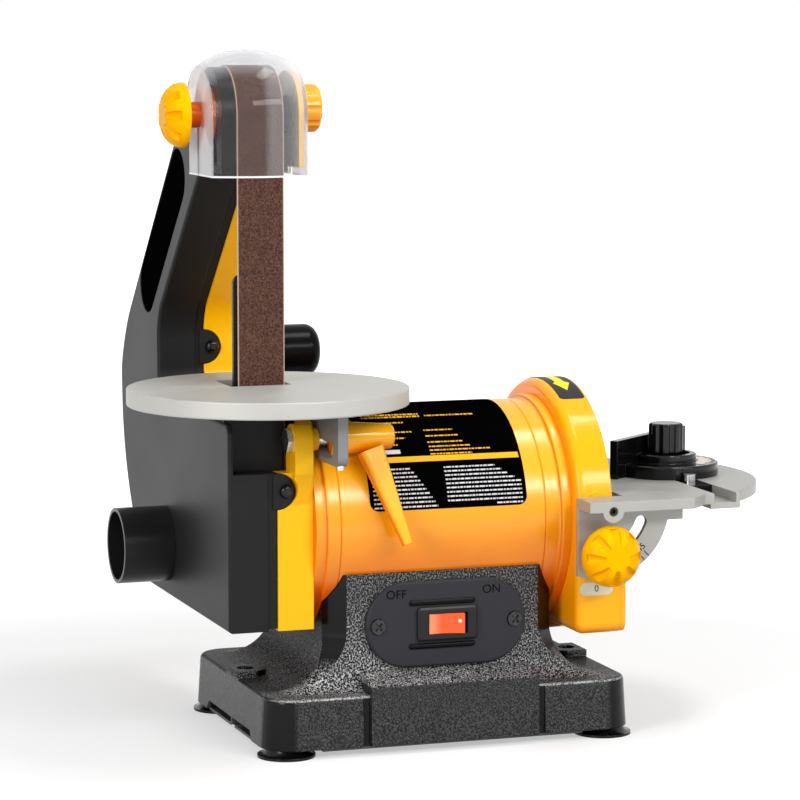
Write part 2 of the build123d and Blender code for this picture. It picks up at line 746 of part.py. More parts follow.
def rubber_feet():
    waist = (FOOT_NECK_R + FOOT_WAIST, FOOT_LIFT / 2)
    profile = make_face(
        [
            Line((0, 0), (FOOT_R, 0)),
            Line((FOOT_R, 0), (FOOT_R, FOOT_BRIM)),
            ThreePointArc((FOOT_R, FOOT_BRIM), waist, (FOOT_NECK_R, FOOT_LIFT)),
            Line((FOOT_NECK_R, FOOT_LIFT), (0, FOOT_LIFT)),
            Line((0, FOOT_LIFT), (0, 0)),
        ]
    )
    foot = revolve(Plane.XZ * profile, Axis.Z)
    foot -= rod_z(FOOT_SCREW_R + BOLT_FIT, -CUT_OVER, FOOT_LIFT + CUT_OVER, 0, 0)
    foot -= rod_z(FOOT_SCREW_HEAD_R + BOLT_FIT, -CUT_OVER, FOOT_LIFT / 2, 0, 0)
    return [Pos(x, y, 0) * foot for x, y in FEET]


def foot_screws():
    screw = rod_z(FOOT_SCREW_R, FOOT_LIFT / 2, FOOT_SCREW_TOP, 0, 0)
    screw += rod_z(FOOT_SCREW_HEAD_R, FOOT_LIFT / 2 - FOOT_SCREW_HEAD, FOOT_LIFT / 2, 0, 0)
    return [Pos(x, y, 0) * screw for x, y in FEET]


def bottom_plate():
    plan = Rectangle(2 * (BASE_HALF_X - BASE_WALL / 2), 2 * (BASE_HALF_Y - BASE_WALL / 2))
    plate = slab_z(plan, FOOT_LIFT - BOTTOM_PLATE, FOOT_LIFT)
    for x, y in FEET:
        corner_x = sorted((x - math.copysign(FOOT_R + FOOT_CLEAR, x), math.copysign(BASE_HALF_X, x)))
        corner_y = sorted((y - math.copysign(FOOT_R + FOOT_CLEAR, y), math.copysign(BASE_HALF_Y, y)))
        plate -= block(corner_x, corner_y, (0, BASE_TOP))
    for side in (-1, 1):
        plate -= rod_z(MOUNT_COLUMN_R + SEAT_GAP, 0, BASE_TOP, side * MOUNT_X, 0)
    return plate


def capacitor():
    body = rod_x(CAPACITOR_R, *around(0, CAPACITOR_LENGTH), CAPACITOR_Y, FOOT_LIFT + CAPACITOR_R)
    for y in (-CAPACITOR_R / 2, CAPACITOR_R / 2):
        tab_y = around(CAPACITOR_Y + y, CAPACITOR_TAB_WIDTH)
        tab_x = (CAPACITOR_LENGTH / 2, CAPACITOR_LENGTH / 2 + CAPACITOR_TAB)
        body += block(tab_x, tab_y, around(FOOT_LIFT + CAPACITOR_R, CAPACITOR_TAB_THICK))
    return body


# Switch
def switch_plate():
    back = -PEDESTAL_HALF_Y
    front = back - SWITCH_PLATE_THICK
    centre = Pos(SWITCH_X, SWITCH_Z)
    plate = slab_y(centre * SlotOverall(SWITCH_PLATE_LENGTH, SWITCH_PLATE_HEIGHT), front, back)
    plate = chamfer(plate.edges().filter_by_position(Axis.Y, front, front), PLATE_CHAMFER)
    for rise in (-RIB_RISE, RIB_RISE):
        rib = Pos(SWITCH_X + RIB_SHIFT, SWITCH_Z + rise) * SlotOverall(RIB_LENGTH, RIB_HEIGHT)
        rib_front = front - RIB_PROUD
        rib = slab_y(rib, rib_front, front)
        plate += fillet(rib.edges().filter_by_position(Axis.Y, rib_front, rib_front), RIB_ROUND)
    body_x = around(SWITCH_X, SWITCH_BODY_WIDTH + 2 * SEAT_GAP)
    body_z = around(SWITCH_Z, SWITCH_BODY_HEIGHT + 2 * SEAT_GAP)
    plate -= block(body_x, (front - CUT_OVER, back + CUT_OVER), body_z)
    for x in SWITCH_SCREWS:
        plate -= rod_y(SWITCH_SCREW_R + BOLT_FIT, front - CUT_OVER, back + CUT_OVER, x, SWITCH_Z)
        plate -= rod_y(SWITCH_HEAD_R + BOLT_FIT, front - CUT_OVER, front + SWITCH_HEAD / 2, x, SWITCH_Z)
    return plate


def switch_plate_screws():
    front = -PEDESTAL_HALF_Y - SWITCH_PLATE_THICK
    screws = []
    for x in SWITCH_SCREWS:
        tip = -PEDESTAL_HALF_Y + SWITCH_SCREW_DEPTH
        screw = rod_y(SWITCH_SCREW_R, front, tip, x, SWITCH_Z)
        head = rod_y(SWITCH_HEAD_R, front - SWITCH_HEAD / 2, front + SWITCH_HEAD / 2, x, SWITCH_Z)
        for turn in (45, 135):
            bar = Pos(x, front - SWITCH_HEAD / 2, SWITCH_Z) * Rot(0, turn, 0)
            head -= bar * Box(CROSS_LENGTH, SWITCH_HEAD, CROSS_WIDTH)
        screws.append(screw + head)
    return screws


def switch_housing():
    front = -PEDESTAL_HALF_Y - SWITCH_PLATE_THICK
    body = block(
        around(SWITCH_X, SWITCH_BODY_WIDTH),
        (front, -PEDESTAL_HALF_Y + SWITCH_DEPTH),
        around(SWITCH_Z, SWITCH_BODY_HEIGHT),
    )
    rim = front - BEZEL_PROUD
    bezel = Pos(SWITCH_X, SWITCH_Z) * RectangleRounded(BEZEL_WIDTH, BEZEL_HEIGHT, BEZEL_CORNER_R)
    bezel = slab_y(bezel, rim, front)
    body += chamfer(bezel.edges().filter_by_position(Axis.Y, rim, rim), BEZEL_CHAMFER)
    body -= block(
        around(SWITCH_X, ROCKER_WIDTH + 2 * ROCKER_SWAY),
        (rim - CUT_OVER, ROCKER_Y + ROCKER_BACK + CUT_OVER),
        around(SWITCH_Z, ROCKER_HEIGHT + 2 * PART_GAP),
    )
    pin_z = around(SWITCH_Z, ROCKER_PIN_LENGTH + PART_GAP)
    body -= rod_z(ROCKER_PIN_R + RUN_FIT, *pin_z, SWITCH_X, ROCKER_Y)
    return body


def rocker():
    half = ROCKER_WIDTH / 2
    lip = ROCKER_LIP - ROCKER_FRONT
    side = make_face(
        [
            ThreePointArc((-half, -ROCKER_FRONT), (0, -ROCKER_FRONT + ROCKER_DIP), (half, -ROCKER_FRONT)),
            Line((half, -ROCKER_FRONT), (half, lip)),
            Line((half, lip), (ROCKER_HEEL, ROCKER_BACK)),
            Line((ROCKER_HEEL, ROCKER_BACK), (-ROCKER_HEEL, ROCKER_BACK)),
            Line((-ROCKER_HEEL, ROCKER_BACK), (-half, lip)),
            Line((-half, lip), (-half, -ROCKER_FRONT)),
        ]
    )
    body = slab_z(side, -ROCKER_HEIGHT / 2, ROCKER_HEIGHT / 2)
    body += rod_z(ROCKER_PIN_R, *around(0, ROCKER_PIN_LENGTH), 0, 0)
    return Pos(SWITCH_X, ROCKER_Y, SWITCH_Z) * Rot(0, 0, -ROCKER_TILT) * body


# Motor
def motor_shell():
    inner = MOTOR_R - MOTOR_WALL
    half = [(SHELL_HALF, inner), (SHELL_HALF, MOTOR_R - SEAM_BEVEL), (SHELL_HALF - SEAM_BEVEL, MOTOR_R)]
    return turned_x(half + [(-x, r) for x, r in reversed(half)], 0, AXIS_Z)


def end_bell(end, rim_r):
    """End bell of the motor with its bearing seat. The outer face lies at end."""
    side = math.copysign(1, end)
    face = abs(end)
    web = face - BELL_WEB
    seat = web - SHAFT_BEARING_WIDTH
    spigot = MOTOR_R - MOTOR_WALL - SEAT_GAP
    hub_r = SHAFT_BEARING_R + MOTOR_WALL
    lip_r = SHAFT_BEARING_R - MOTOR_WALL
    points = [
        (face, lip_r),
        (face, rim_r),
        (face - BELL_RIM, rim_r),
        (face - BELL_RIM, MOTOR_R),
        (SHELL_HALF + SEAM_BEVEL, MOTOR_R),
        (SHELL_HALF, MOTOR_R - SEAM_BEVEL),
        (SHELL_HALF, spigot),
        (SHELL_HALF - BELL_RIM, spigot),
        (SHELL_HALF - BELL_RIM, spigot - MOTOR_WALL),
        (web, spigot - MOTOR_WALL),
        (web, hub_r),
        (seat, hub_r),
        (seat, SHAFT_BEARING_R + RUN_FIT),
        (web, SHAFT_BEARING_R + RUN_FIT),
        (web, lip_r),
    ]
    bell = turned_x([(side * x, r) for x, r in points], 0, AXIS_Z)
    step = side * (face - BELL_RIM)
    bell = fillet(bell.edges().filter_by(GeomType.CIRCLE).filter_by_position(Axis.X, step, step), BELL_ROUND)
    for y, z in MOTOR_SCREWS:
        boss = sorted((side * web, side * (web - MOTOR_SCREW_GRIP)))
        hole = sorted((side * (face + CUT_OVER), side * (web - MOTOR_SCREW_GRIP - CUT_OVER)))
        bell += rod_x(2 * MOTOR_SCREW_R, *boss, y, z)
        bell -= rod_x(MOTOR_SCREW_R + BOLT_FIT, *hole, y, z)
    return bell


def stator():
    """Wound stator: the core with its end turns."""
    outer = MOTOR_R - MOTOR_WALL - SEAT_GAP
    ends = STATOR_HALF + WINDING_REACH
    turns_out = MOTOR_R - 4 * MOTOR_WALL
    turns_in = STATOR_BORE + MOTOR_WALL / 2
    half = [(STATOR_HALF, outer), (STATOR_HALF, turns_out), (ends, turns_out - MOTOR_WALL), (ends, turns_in)]
    half += [(STATOR_HALF, turns_in), (STATOR_HALF, STATOR_BORE)]
    return turned_x(half + [(-x, r) for x, r in reversed(half)], 0, AXIS_Z)


def rotor_core():
    length = STATOR_HALF + ROTOR_OVER
    bore = SHAFT_R + RUN_FIT
    return turned_x([(-length, bore), (-length, ROTOR_R), (length, ROTOR_R), (length, bore)], 0, AXIS_Z)


def shaft_bearings():
    rings = []
    bore = SHAFT_R + RUN_FIT
    for start in (HOUSING_RIGHT + BELL_WEB, GUARD_LEFT - BELL_WEB - SHAFT_BEARING_WIDTH):
        end = start + SHAFT_BEARING_WIDTH
        points = [(start, bore), (start, SHAFT_BEARING_R), (end, SHAFT_BEARING_R), (end, bore)]
        rings.append(turned_x(points, 0, AXIS_Z))
    return rings


def motor_shaft():
    points = [
        (SHAFT_LEFT, 0),
        (SHAFT_LEFT, SHAFT_THREAD_R),
        (WHEEL_LEFT, SHAFT_THREAD_R),
        (WHEEL_LEFT, SHAFT_SEAT_R),
        (WHEEL_RIGHT, SHAFT_SEAT_R),
        (WHEEL_RIGHT, SHAFT_R),
        (SHAFT_RIGHT, SHAFT_R),
        (SHAFT_RIGHT, 0),
    ]
    return turned_x(points, 0, AXIS_Z)


def flange_screws(face, side):
    """Four pan-head screws that hold the belt frame or the disc guard to an end bell."""
    grip = FRAME_PLATE + BELL_WEB + MOTOR_SCREW_GRIP
    screws = []
    for y, z in MOTOR_SCREWS:
        head = sorted((face, face - side * MOTOR_SCREW_HEAD))
        shank = sorted((face, face + side * grip))
        screw = rod_x(MOTOR_SCREW_R, *shank, y, z) + rod_x(2 * MOTOR_SCREW_R, *head, y, z)
        screws.append(screw)
    return screws


# Belt housing
def along_arm(outward, upward):
    """Point given by its distances from the rear strand's cover line and from the top wheel's end of it."""
    y, z = polar((TOP_Y, TOP_Z), TOP_R + COVER_OUT, ARM_NORMAL)
    y, z = polar((y, z), outward, ARM_NORMAL)
    return polar((y, z), upward, ARM_NORMAL + 90)


HEAD_SCREWS = [along_arm(-HEAD_SCREW_INSET, -ARM_END - drop) for drop in HEAD_SCREW_DROPS]


def housing_face():
    """Outline of the belt housing in (y, z)."""
    rear = (REAR_Y, REAR_Z)
    rear_r = REAR_R + COVER_OUT
    tail = (HOUSING_TAIL_Y, HOUSING_BOTTOM)
    shoulder = polar(rear, rear_r, REAR_ARC_START)
    back = polar(rear, rear_r, HIP_ANGLE)
    hip = along_arm(HIP_SWELL, -HIP_RUN)
    outer_end = along_arm(ARM_END_SWELL, -ARM_END)
    inner_end = along_arm(-ARM_WIDTH, -ARM_END)
    foot = (ARM_FOOT_Y, HOUSING_TOP)
    top_front = (HOUSING_FRONT, HOUSING_TOP)
    bottom_front = (HOUSING_FRONT, HOUSING_BOTTOM)
    face = make_face(
        [
            Line(bottom_front, tail),
            ThreePointArc(tail, HOUSING_BULGE, shoulder),
            arc_about(rear, rear_r, REAR_ARC_START, HIP_ANGLE),
            TangentArc(back, hip, tangent=polar((0, 0), 1, HIP_ANGLE + 90)),
            Line(hip, outer_end),
            Line(outer_end, inner_end),
            Line(inner_end, ARM_KNEE),
            Line(ARM_KNEE, foot),
            Line(foot, top_front),
            Line(top_front, bottom_front),
        ]
    )
    face = rounded(face, hip, HIP_R)
    face = rounded(face, ARM_KNEE, KNEE_R)
    face = rounded(face, foot, ARM_FOOT_R)
    return rounded(face, top_front, FRONT_CORNER_R)


def housing_room():
    """Space inside the housing: its outline less the wall, with the open top and the open arm end."""
    room = offset(housing_face(), -HOUSING_WALL)
    mouth_front = HOUSING_FRONT + HOUSING_WALL
    mouth_back = ARM_FOOT_Y - ARM_FOOT_R
    room += Pos((mouth_front + mouth_back) / 2, HOUSING_TOP - FRONT_CORNER_R / 2) * Rectangle(
        mouth_back - mouth_front, FRONT_CORNER_R + 2 * HOUSING_WALL
    )
    mouth = Polyline(
        along_arm(ARM_END_SWELL - HOUSING_WALL, -ARM_END - FRONT_CORNER_R),
        along_arm(ARM_END_SWELL - HOUSING_WALL, -ARM_END + HOUSING_WALL),
        along_arm(HOUSING_WALL - ARM_WIDTH, -ARM_END + HOUSING_WALL),
        along_arm(HOUSING_WALL - ARM_WIDTH, -ARM_END - FRONT_CORNER_R),
        close=True,
    )
    return room + make_face(mouth)


def lug_planes():
    """Planes of the two lugs that join the halves, each facing out of its wall."""
    foot = (ARM_FOOT_Y, HOUSING_TOP)
    share = (UPPER_LUG_Z - foot[1]) / (ARM_KNEE[1] - foot[1])
    wall_y = foot[0] + share * (ARM_KNEE[0] - foot[0])
    lean = (ARM_KNEE[0] - foot[0]) / (ARM_KNEE[1] - foot[1])
    lower = Plane((HOUSING_SPLIT, HOUSING_FRONT, LOWER_LUG_Z), x_dir=(1, 0, 0), z_dir=(0, -1, 0))
    upper = Plane((HOUSING_SPLIT, wall_y, UPPER_LUG_Z), x_dir=(1, 0, 0), z_dir=(0, -1, lean))
    return lower, upper


def drilled(plane, radius, top, bottom):
    """Cylinder at the screw's place on a lug plane, between two heights over that plane."""
    return extrude(plane.offset(bottom) * Pos(LUG_SCREW, 0) * Circle(radius), amount=top - bottom)


def cover_screw():
    """Round-head screw with its seat at the origin and its head up."""
    head = rod_z(COVER_HEAD_R, 0, COVER_HEAD, 0, 0)
    head = fillet(head.edges().sort_by(Axis.Z)[-1], COVER_HEAD_ROUND)
    return head + rod_z(COVER_SCREW_R, -COVER_SCREW_LENGTH, 0, 0, 0)


def belt_cover():
    seam = HOUSING_SPLIT - SEAM_STRIP
    cover = slab_x(housing_face(), HOUSING_LEFT, seam)
    cover = fillet(cover.faces().sort_by(Axis.X)[0].edges(), COVER_EDGE_R)
    cover += slab_x(offset(housing_face(), -SEAM_DEPTH), seam, HOUSING_SPLIT)
    cover -= slab_x(housing_room(), HOUSING_LEFT + HOUSING_WALL, HOUSING_SPLIT)
    cover -= block(
        (HOUSING_LEFT + HOUSING_WALL, HOUSING_SPLIT),
        (HOUSING_FRONT - CUT_OVER, HOUSING_FRONT + HOUSING_WALL + CUT_OVER),
        (WINDOW_SILL, HOUSING_TOP + CUT_OVER),
    )

    # Shield in front of the belt under the table, on a ledge behind the window's sill
    wall = HOUSING_LEFT + HOUSING_WALL / 2
    shield_y = (HOUSING_FRONT + SHIELD_SETBACK, HOUSING_FRONT + SHIELD_SETBACK + HOUSING_WALL)
    shield_z = (WINDOW_SILL - SHIELD_ROOT, BELT_TABLE_BOTTOM - SHIELD_GAP)
    cover += block((wall, EAR_LEFT - PART_GAP), shield_y, shield_z)
    ledge_y = (HOUSING_FRONT + HOUSING_WALL / 2, shield_y[1])
    cover += block((wall, HOUSING_SPLIT), ledge_y, (WINDOW_SILL - HOUSING_WALL, WINDOW_SILL))

    # Pocket in the arm, hole for the dust port and lugs
    ends = [along_arm(-inset, -ARM_END - drop) for inset, drop in POCKET_ENDS]
    pocket = SlotCenterPoint(halfway(*ends), ends[0], POCKET_WIDTH)
    cover -= slab_x(pocket, HOUSING_LEFT - CUT_OVER, HOUSING_LEFT + POCKET_DEPTH)
    cover -= rod_x(PORT_R - PORT_WALL, HOUSING_LEFT - CUT_OVER, HOUSING_LEFT + HOUSING_WALL, PORT_Y, PORT_Z)
    for plane in lug_planes():
        tab = extrude(plane * Circle(LUG_R), amount=-LUG_THICK)
        cover += tab & block(
            (HOUSING_SPLIT - HOUSING_WALL, HOUSING_RIGHT), (HOUSING_FRONT, REAR_Y), (HOUSING_BOTTOM, TOP_Z)
        )
        cover -= drilled(plane, COVER_SCREW_R + BOLT_FIT, CUT_OVER, -LUG_THICK - CUT_OVER)
    return cover


def belt_frame():
    frame = slab_x(housing_face(), HOUSING_SPLIT, HOUSING_RIGHT)
    frame -= slab_x(housing_room(), HOUSING_SPLIT, FRAME_PLATE_LEFT)
    frame -= block(
        (HOUSING_SPLIT, EAR_LEFT),
        (HOUSING_FRONT - CUT_OVER, HOUSING_FRONT + HOUSING_WALL + CUT_OVER),
        (WINDOW_SILL, HOUSING_TOP + CUT_OVER),
    )

    # Ear with the boss for the table's clamp bolt
    ear = Pos(CLAMP_Y, CLAMP_Z) * Circle(EAR_R)
    ear += make_face(
        Polyline(
            (CLAMP_Y - EAR_R, CLAMP_Z),
            (CLAMP_Y - EAR_R, WINDOW_SILL),
            (HOUSING_FRONT, WINDOW_SILL - 2 * EAR_R),
            (CLAMP_Y + EAR_R, WINDOW_SILL - 2 * EAR_R),
            (CLAMP_Y + EAR_R, CLAMP_Z),
            close=True,
        )
    )
    frame += slab_x(ear, EAR_LEFT, EAR_RIGHT)
    boss_end = TRUNNION_LEFT - PART_GAP
    frame += rod_x(EAR_BOSS_R, EAR_RIGHT, boss_end, CLAMP_Y, CLAMP_Z)
    frame -= rod_x(CLAMP_R + BOLT_FIT, EAR_LEFT - CUT_OVER, boss_end + CUT_OVER, CLAMP_Y, CLAMP_Z)

    # Seats for the lugs of the cover, with bosses for their screws
    inside = block((HOUSING_SPLIT, HOUSING_RIGHT), (HOUSING_FRONT, REAR_Y), (HOUSING_BOTTOM, TOP_Z))
    for plane in lug_planes():
        boss = plane.offset(-LUG_THICK - SEAT_GAP) * Pos(LUG_R, 0) * Rectangle(2 * LUG_R, 2 * LUG_R)
        boss = extrude(boss, amount=-LUG_BOSS)
        frame += boss & inside
        seat = plane.offset(-LUG_THICK - SEAT_GAP) * Circle(LUG_R + PART_GAP)
        frame -= extrude(seat, amount=LUG_CLEAR)
        frame -= drilled(plane, COVER_SCREW_R + BOLT_FIT, 0, -LUG_THICK - LUG_BOSS)

    # Holes for the shaft, the flange screws, the platen, the head and the belt tension
    frame -= rod_x(SHAFT_HOLE_R, FRAME_PLATE_LEFT - CUT_OVER, HOUSING_RIGHT + CUT_OVER, 0, AXIS_Z)
    through = (FRAME_PLATE_LEFT - CUT_OVER, HOUSING_RIGHT + CUT_OVER)
    for y, z in MOTOR_SCREWS:
        frame -= rod_x(MOTOR_SCREW_R + BOLT_FIT, *through, y, z)
    for y, z in PLATEN_SCREWS:
        frame -= rod_x(SMALL_SCREW_R + BOLT_FIT, *through, y, z)
    for y, z in HEAD_SCREWS:
        frame -= rod_x(SMALL_SCREW_R + BOLT_FIT, *through, y, z)
    frame -= rod_x(TENSION_PIN_R + RUN_FIT, *through, TENSION_PIVOT_Y, TENSION_PIVOT_Z)
    pivot = (TENSION_PIVOT_Y, TENSION_PIVOT_Z)
    axle_track = arc_about(pivot, TENSION_R, TENSION_ANGLE, TENSION_ANGLE + TENSION_SWING)
    frame -= slab_x(SlotArc(axle_track, 2 * AXLE_R + 4 * PART_GAP), *through)
    return frame


def cover_screws():
    """Equal screws of the belt cover's two lugs and of the disc's lower cover."""
    screws = [plane * Pos(LUG_SCREW, 0, 0) * cover_screw() for plane in lug_planes()]
    for y, z in LOWER_COVER_SCREWS:
        screws.append(Pos(GUARD_LOWER_RIM + LOWER_COVER, y, z) * Rot(0, 90, 0) * cover_screw())
    return screws


def dust_port():
    pipe = rod_x(PORT_R, PORT_END, HOUSING_LEFT, PORT_Y, PORT_Z)
    return pipe - rod_x(PORT_R - PORT_WALL, PORT_END - CUT_OVER, HOUSING_LEFT + CUT_OVER, PORT_Y, PORT_Z)


# Belt, wheels and platen
def sanding_belt():
    return slab_x(wheel_loop(BELT_OUT) - wheel_loop(BELT_IN), BELT_LEFT, BELT_RIGHT)


def drive_wheel():
    rim = DRIVE_R - WHEEL_RIM
    web_left, web_right = around(BELT_X, WHEEL_WEB)
    bore = SHAFT_SEAT_R + RUN_FIT
    points = [
        (WHEEL_LEFT, bore),
        (WHEEL_LEFT, WHEEL_HUB_R),
        (web_left, WHEEL_HUB_R),
        (web_left, rim),
        (WHEEL_LEFT, rim),
        (WHEEL_LEFT, DRIVE_R),
        (WHEEL_RIGHT, DRIVE_R),
        (WHEEL_RIGHT, rim),
        (web_right, rim),
        (web_right, WHEEL_HUB_R),
        (WHEEL_RIGHT, WHEEL_HUB_R),
        (WHEEL_RIGHT, bore),
    ]
    return turned_x(points, 0, AXIS_Z)


def drive_wheel_nut():
    nut = RegularPolygon(NUT_R, 6) - Circle(SHAFT_THREAD_R + RUN_FIT)
    return Pos(0, 0, AXIS_Z) * slab_x(nut, WHEEL_LEFT - NUT_THICK, WHEEL_LEFT)


def idler_wheel(radius, y, z):
    rim = radius - WHEEL_RIM
    web_left, web_right = around(BELT_X, WHEEL_WEB)
    seat = BEARING_R + RUN_FIT
    land = seat - BEARING_LAND
    points = [
        (WHEEL_LEFT, seat),
        (WHEEL_LEFT, WHEEL_HUB_R),
        (web_left, WHEEL_HUB_R),
        (web_left, rim),
        (WHEEL_LEFT, rim),
        (WHEEL_LEFT, radius),
        (WHEEL_RIGHT, radius),
        (WHEEL_RIGHT, rim),
        (web_right, rim),
        (web_right, WHEEL_HUB_R),
        (WHEEL_RIGHT, WHEEL_HUB_R),
        (WHEEL_RIGHT, seat),
        (WHEEL_RIGHT - BEARING_WIDTH, seat),
        (WHEEL_RIGHT - BEARING_WIDTH, land),
        (WHEEL_LEFT + BEARING_WIDTH, land),
        (WHEEL_LEFT + BEARING_WIDTH, seat),
    ]
    return turned_x(points, y, z)


def idler_bearings(y, z):
    rings = []
    bore = AXLE_R + RUN_FIT
    for start in (WHEEL_LEFT, WHEEL_RIGHT - BEARING_WIDTH):
        end = start + BEARING_WIDTH
        rings.append(turned_x([(start, bore), (start, BEARING_R), (end, BEARING_R), (end, bore)], y, z))
    return rings


def platen():
    right = BELT_RIGHT + PART_GAP
    width = right - PLATEN_LEFT
    face = Pos((PLATEN_LEFT + right) / 2, (PLATEN_BOTTOM + PLATEN_TOP) / 2) * RectangleRounded(
        width, PLATEN_TOP - PLATEN_BOTTOM, PLATEN_CORNER_R
    )
    plate = slab_y(face, PLATEN_FRONT, PLATEN_FRONT + PLATEN_THICK)
    low, high = PLATEN_TAB
    plate += block((BELT_X, FRAME_PLATE_LEFT), (PLATEN_FRONT, PLATEN_FRONT + PLATEN_THICK), (low, high))
    tab_x = (FRAME_PLATE_LEFT - PLATEN_THICK, FRAME_PLATE_LEFT)
    plate += block(tab_x, (PLATEN_FRONT, PLATEN_TAB_BACK), (low, high))
    for y, z in PLATEN_SCREWS:
        plate -= rod_x(SMALL_SCREW_R + BOLT_FIT, BELT_X, HOUSING_RIGHT, y, z)
    return plate


def small_screws(places, face, grip):
    """Pan-head screws along X, with the heads on the side that the grip points away from."""
    side = math.copysign(1, grip)
    screws = []
    for y, z in places:
        shank = sorted((face, face + grip))
        head = sorted((face, face - side * SMALL_SCREW_R))
        screws.append(rod_x(SMALL_SCREW_R, *shank, y, z) + rod_x(2 * SMALL_SCREW_R, *head, y, z))
    return screws


# Round belt table with its clamp
def belt_table():
    table = rod_z(BELT_TABLE_R, BELT_TABLE_BOTTOM, BELT_TABLE_TOP, BELT_X, BELT_TABLE_Y)
    table = fillet(table.edges(), TABLE_EDGE_R)
    through = (BELT_TABLE_BOTTOM - CUT_OVER, BELT_TABLE_TOP + CUT_OVER)
    table -= block((BELT_SLOT_LEFT, BELT_SLOT_RIGHT), (BELT_SLOT_FRONT, BELT_SLOT_BACK), through)
    bevel = make_face(
        Polyline(
            (BELT_SLOT_FRONT, BELT_TABLE_BOTTOM),
            (BELT_SLOT_FRONT - SLOT_BEVEL, BELT_TABLE_BOTTOM),
            (BELT_SLOT_FRONT, BELT_TABLE_BOTTOM + SLOT_BEVEL),
            close=True,
        )
    )
    table -= slab_x(bevel, BELT_SLOT_LEFT, BELT_SLOT_RIGHT)
    grip = (BELT_TABLE_BOTTOM - CUT_OVER, TRUNNION_SCREW_TOP + BOLT_FIT)
    for x, y in TRUNNION_SCREWS:
        table -= rod_z(SMALL_SCREW_R + BOLT_FIT, *grip, x, y)
    return table


def table_trunnion():
    pivot = (TILT_Y, TILT_Z)
    low = TILT_Z - TILT_R - CLAMP_R - PART_GAP - TRUNNION_WALL
    blank = Pos((TRUNNION_FRONT + TRUNNION_BACK) / 2, (low + BELT_TABLE_BOTTOM) / 2) * Rectangle(
        TRUNNION_BACK - TRUNNION_FRONT, BELT_TABLE_BOTTOM - low
    )
    blank = rounded(blank, (TRUNNION_FRONT, low), TRUNNION_CORNER_R)
    blank -= Pos(0, AXIS_Z) * Circle(MOTOR_R + TRUNNION_CLEAR)
    track = arc_about(pivot, TILT_R, TILT_START - TILT_MAX - 90, TILT_START - 90)
    blank -= SlotArc(track, 2 * (CLAMP_R + PART_GAP))
    plate = slab_x(blank, TRUNNION_LEFT, TRUNNION_RIGHT)
    flange_z = (BELT_TABLE_BOTTOM - TRUNNION_FLANGE, BELT_TABLE_BOTTOM)
    flange_x = (TRUNNION_LEFT, TRUNNION_LEFT + TRUNNION_FLANGE_WIDTH)
    plate += block(flange_x, (TRUNNION_FLANGE_FRONT, TRUNNION_BACK), flange_z)
    for x, y in TRUNNION_SCREWS:
        plate -= rod_z(SMALL_SCREW_R + BOLT_FIT, flange_z[0] - CUT_OVER, flange_z[1] + CUT_OVER, x, y)
    stop_z = (low - CUT_OVER, STOP_SCREW_TOP + BOLT_FIT)
    return plate - rod_z(STOP_SCREW_R + BOLT_FIT, *stop_z, TRUNNION_MID, STOP_SCREW_Y)


def trunnion_screws():
    face = BELT_TABLE_BOTTOM - TRUNNION_FLANGE
    screws = []
    for x, y in TRUNNION_SCREWS:
        shank = rod_z(SMALL_SCREW_R, face, TRUNNION_SCREW_TOP, x, y)
        screws.append(shank + rod_z(2 * SMALL_SCREW_R, face - SMALL_SCREW_R, face, x, y))
    return screws


def table_stop_screw():
    return rod_z(STOP_SCREW_R, STOP_SCREW_BOTTOM, STOP_SCREW_TOP, TRUNNION_MID, STOP_SCREW_Y)


def clamp_bolt():
    head = Pos(CLAMP_Y, CLAMP_Z) * RegularPolygon(CLAMP_HEAD_R, 6)
    bolt = rod_x(CLAMP_R, EAR_LEFT, CLAMP_END, CLAMP_Y, CLAMP_Z)
    return bolt + slab_x(head, EAR_LEFT - CLAMP_HEAD, EAR_LEFT)


def clamp_lever():
    start = TRUNNION_RIGHT + PART_GAP
    bore = CLAMP_R + RUN_FIT
    hub = turned_x(
        [
            (start, bore),
            (start, HUB_R),
            (HUB_END - HUB_ROUND, HUB_TIP_R),
            (HUB_END, HUB_TIP_R - HUB_ROUND),
            (HUB_END, 0),
            (CLAMP_END + PART_GAP, 0),
            (CLAMP_END + PART_GAP, bore),
        ],
        CLAMP_Y,
        CLAMP_Z,
    )
    root = Vector(LEVER_ROOT_X, CLAMP_Y - LEVER_ROOT_DROP[0], CLAMP_Z - LEVER_ROOT_DROP[1])
    tip = Vector(LEVER_TIP_X, CLAMP_Y - LEVER_TIP_DROP[0], CLAMP_Z - LEVER_TIP_DROP[1])
    line = tip - root
    root_plane = Plane(root, x_dir=(1, 0, 0), z_dir=line)
    tip_plane = Plane(tip, x_dir=(1, 0, 0), z_dir=line)
    root_face = root_plane * RectangleRounded(*LEVER_ROOT_SIZE)
    tip_face = tip_plane * RectangleRounded(*LEVER_TIP_SIZE)
    arm = loft([root_face, tip_face])
    arm -= rod_x(HUB_TIP_R, start, HUB_END, CLAMP_Y, CLAMP_Z)
    return hub + arm


# Head with the top wheel and the clear hood
def arch_face(radius, floor):
    """Round-topped outline about the top wheel's axle, with straight sides down to a floor."""
    face = Pos(TOP_Y, TOP_Z) * Circle(radius)
    return face + Pos(TOP_Y, (TOP_Z + floor) / 2) * Rectangle(2 * radius, TOP_Z - floor)


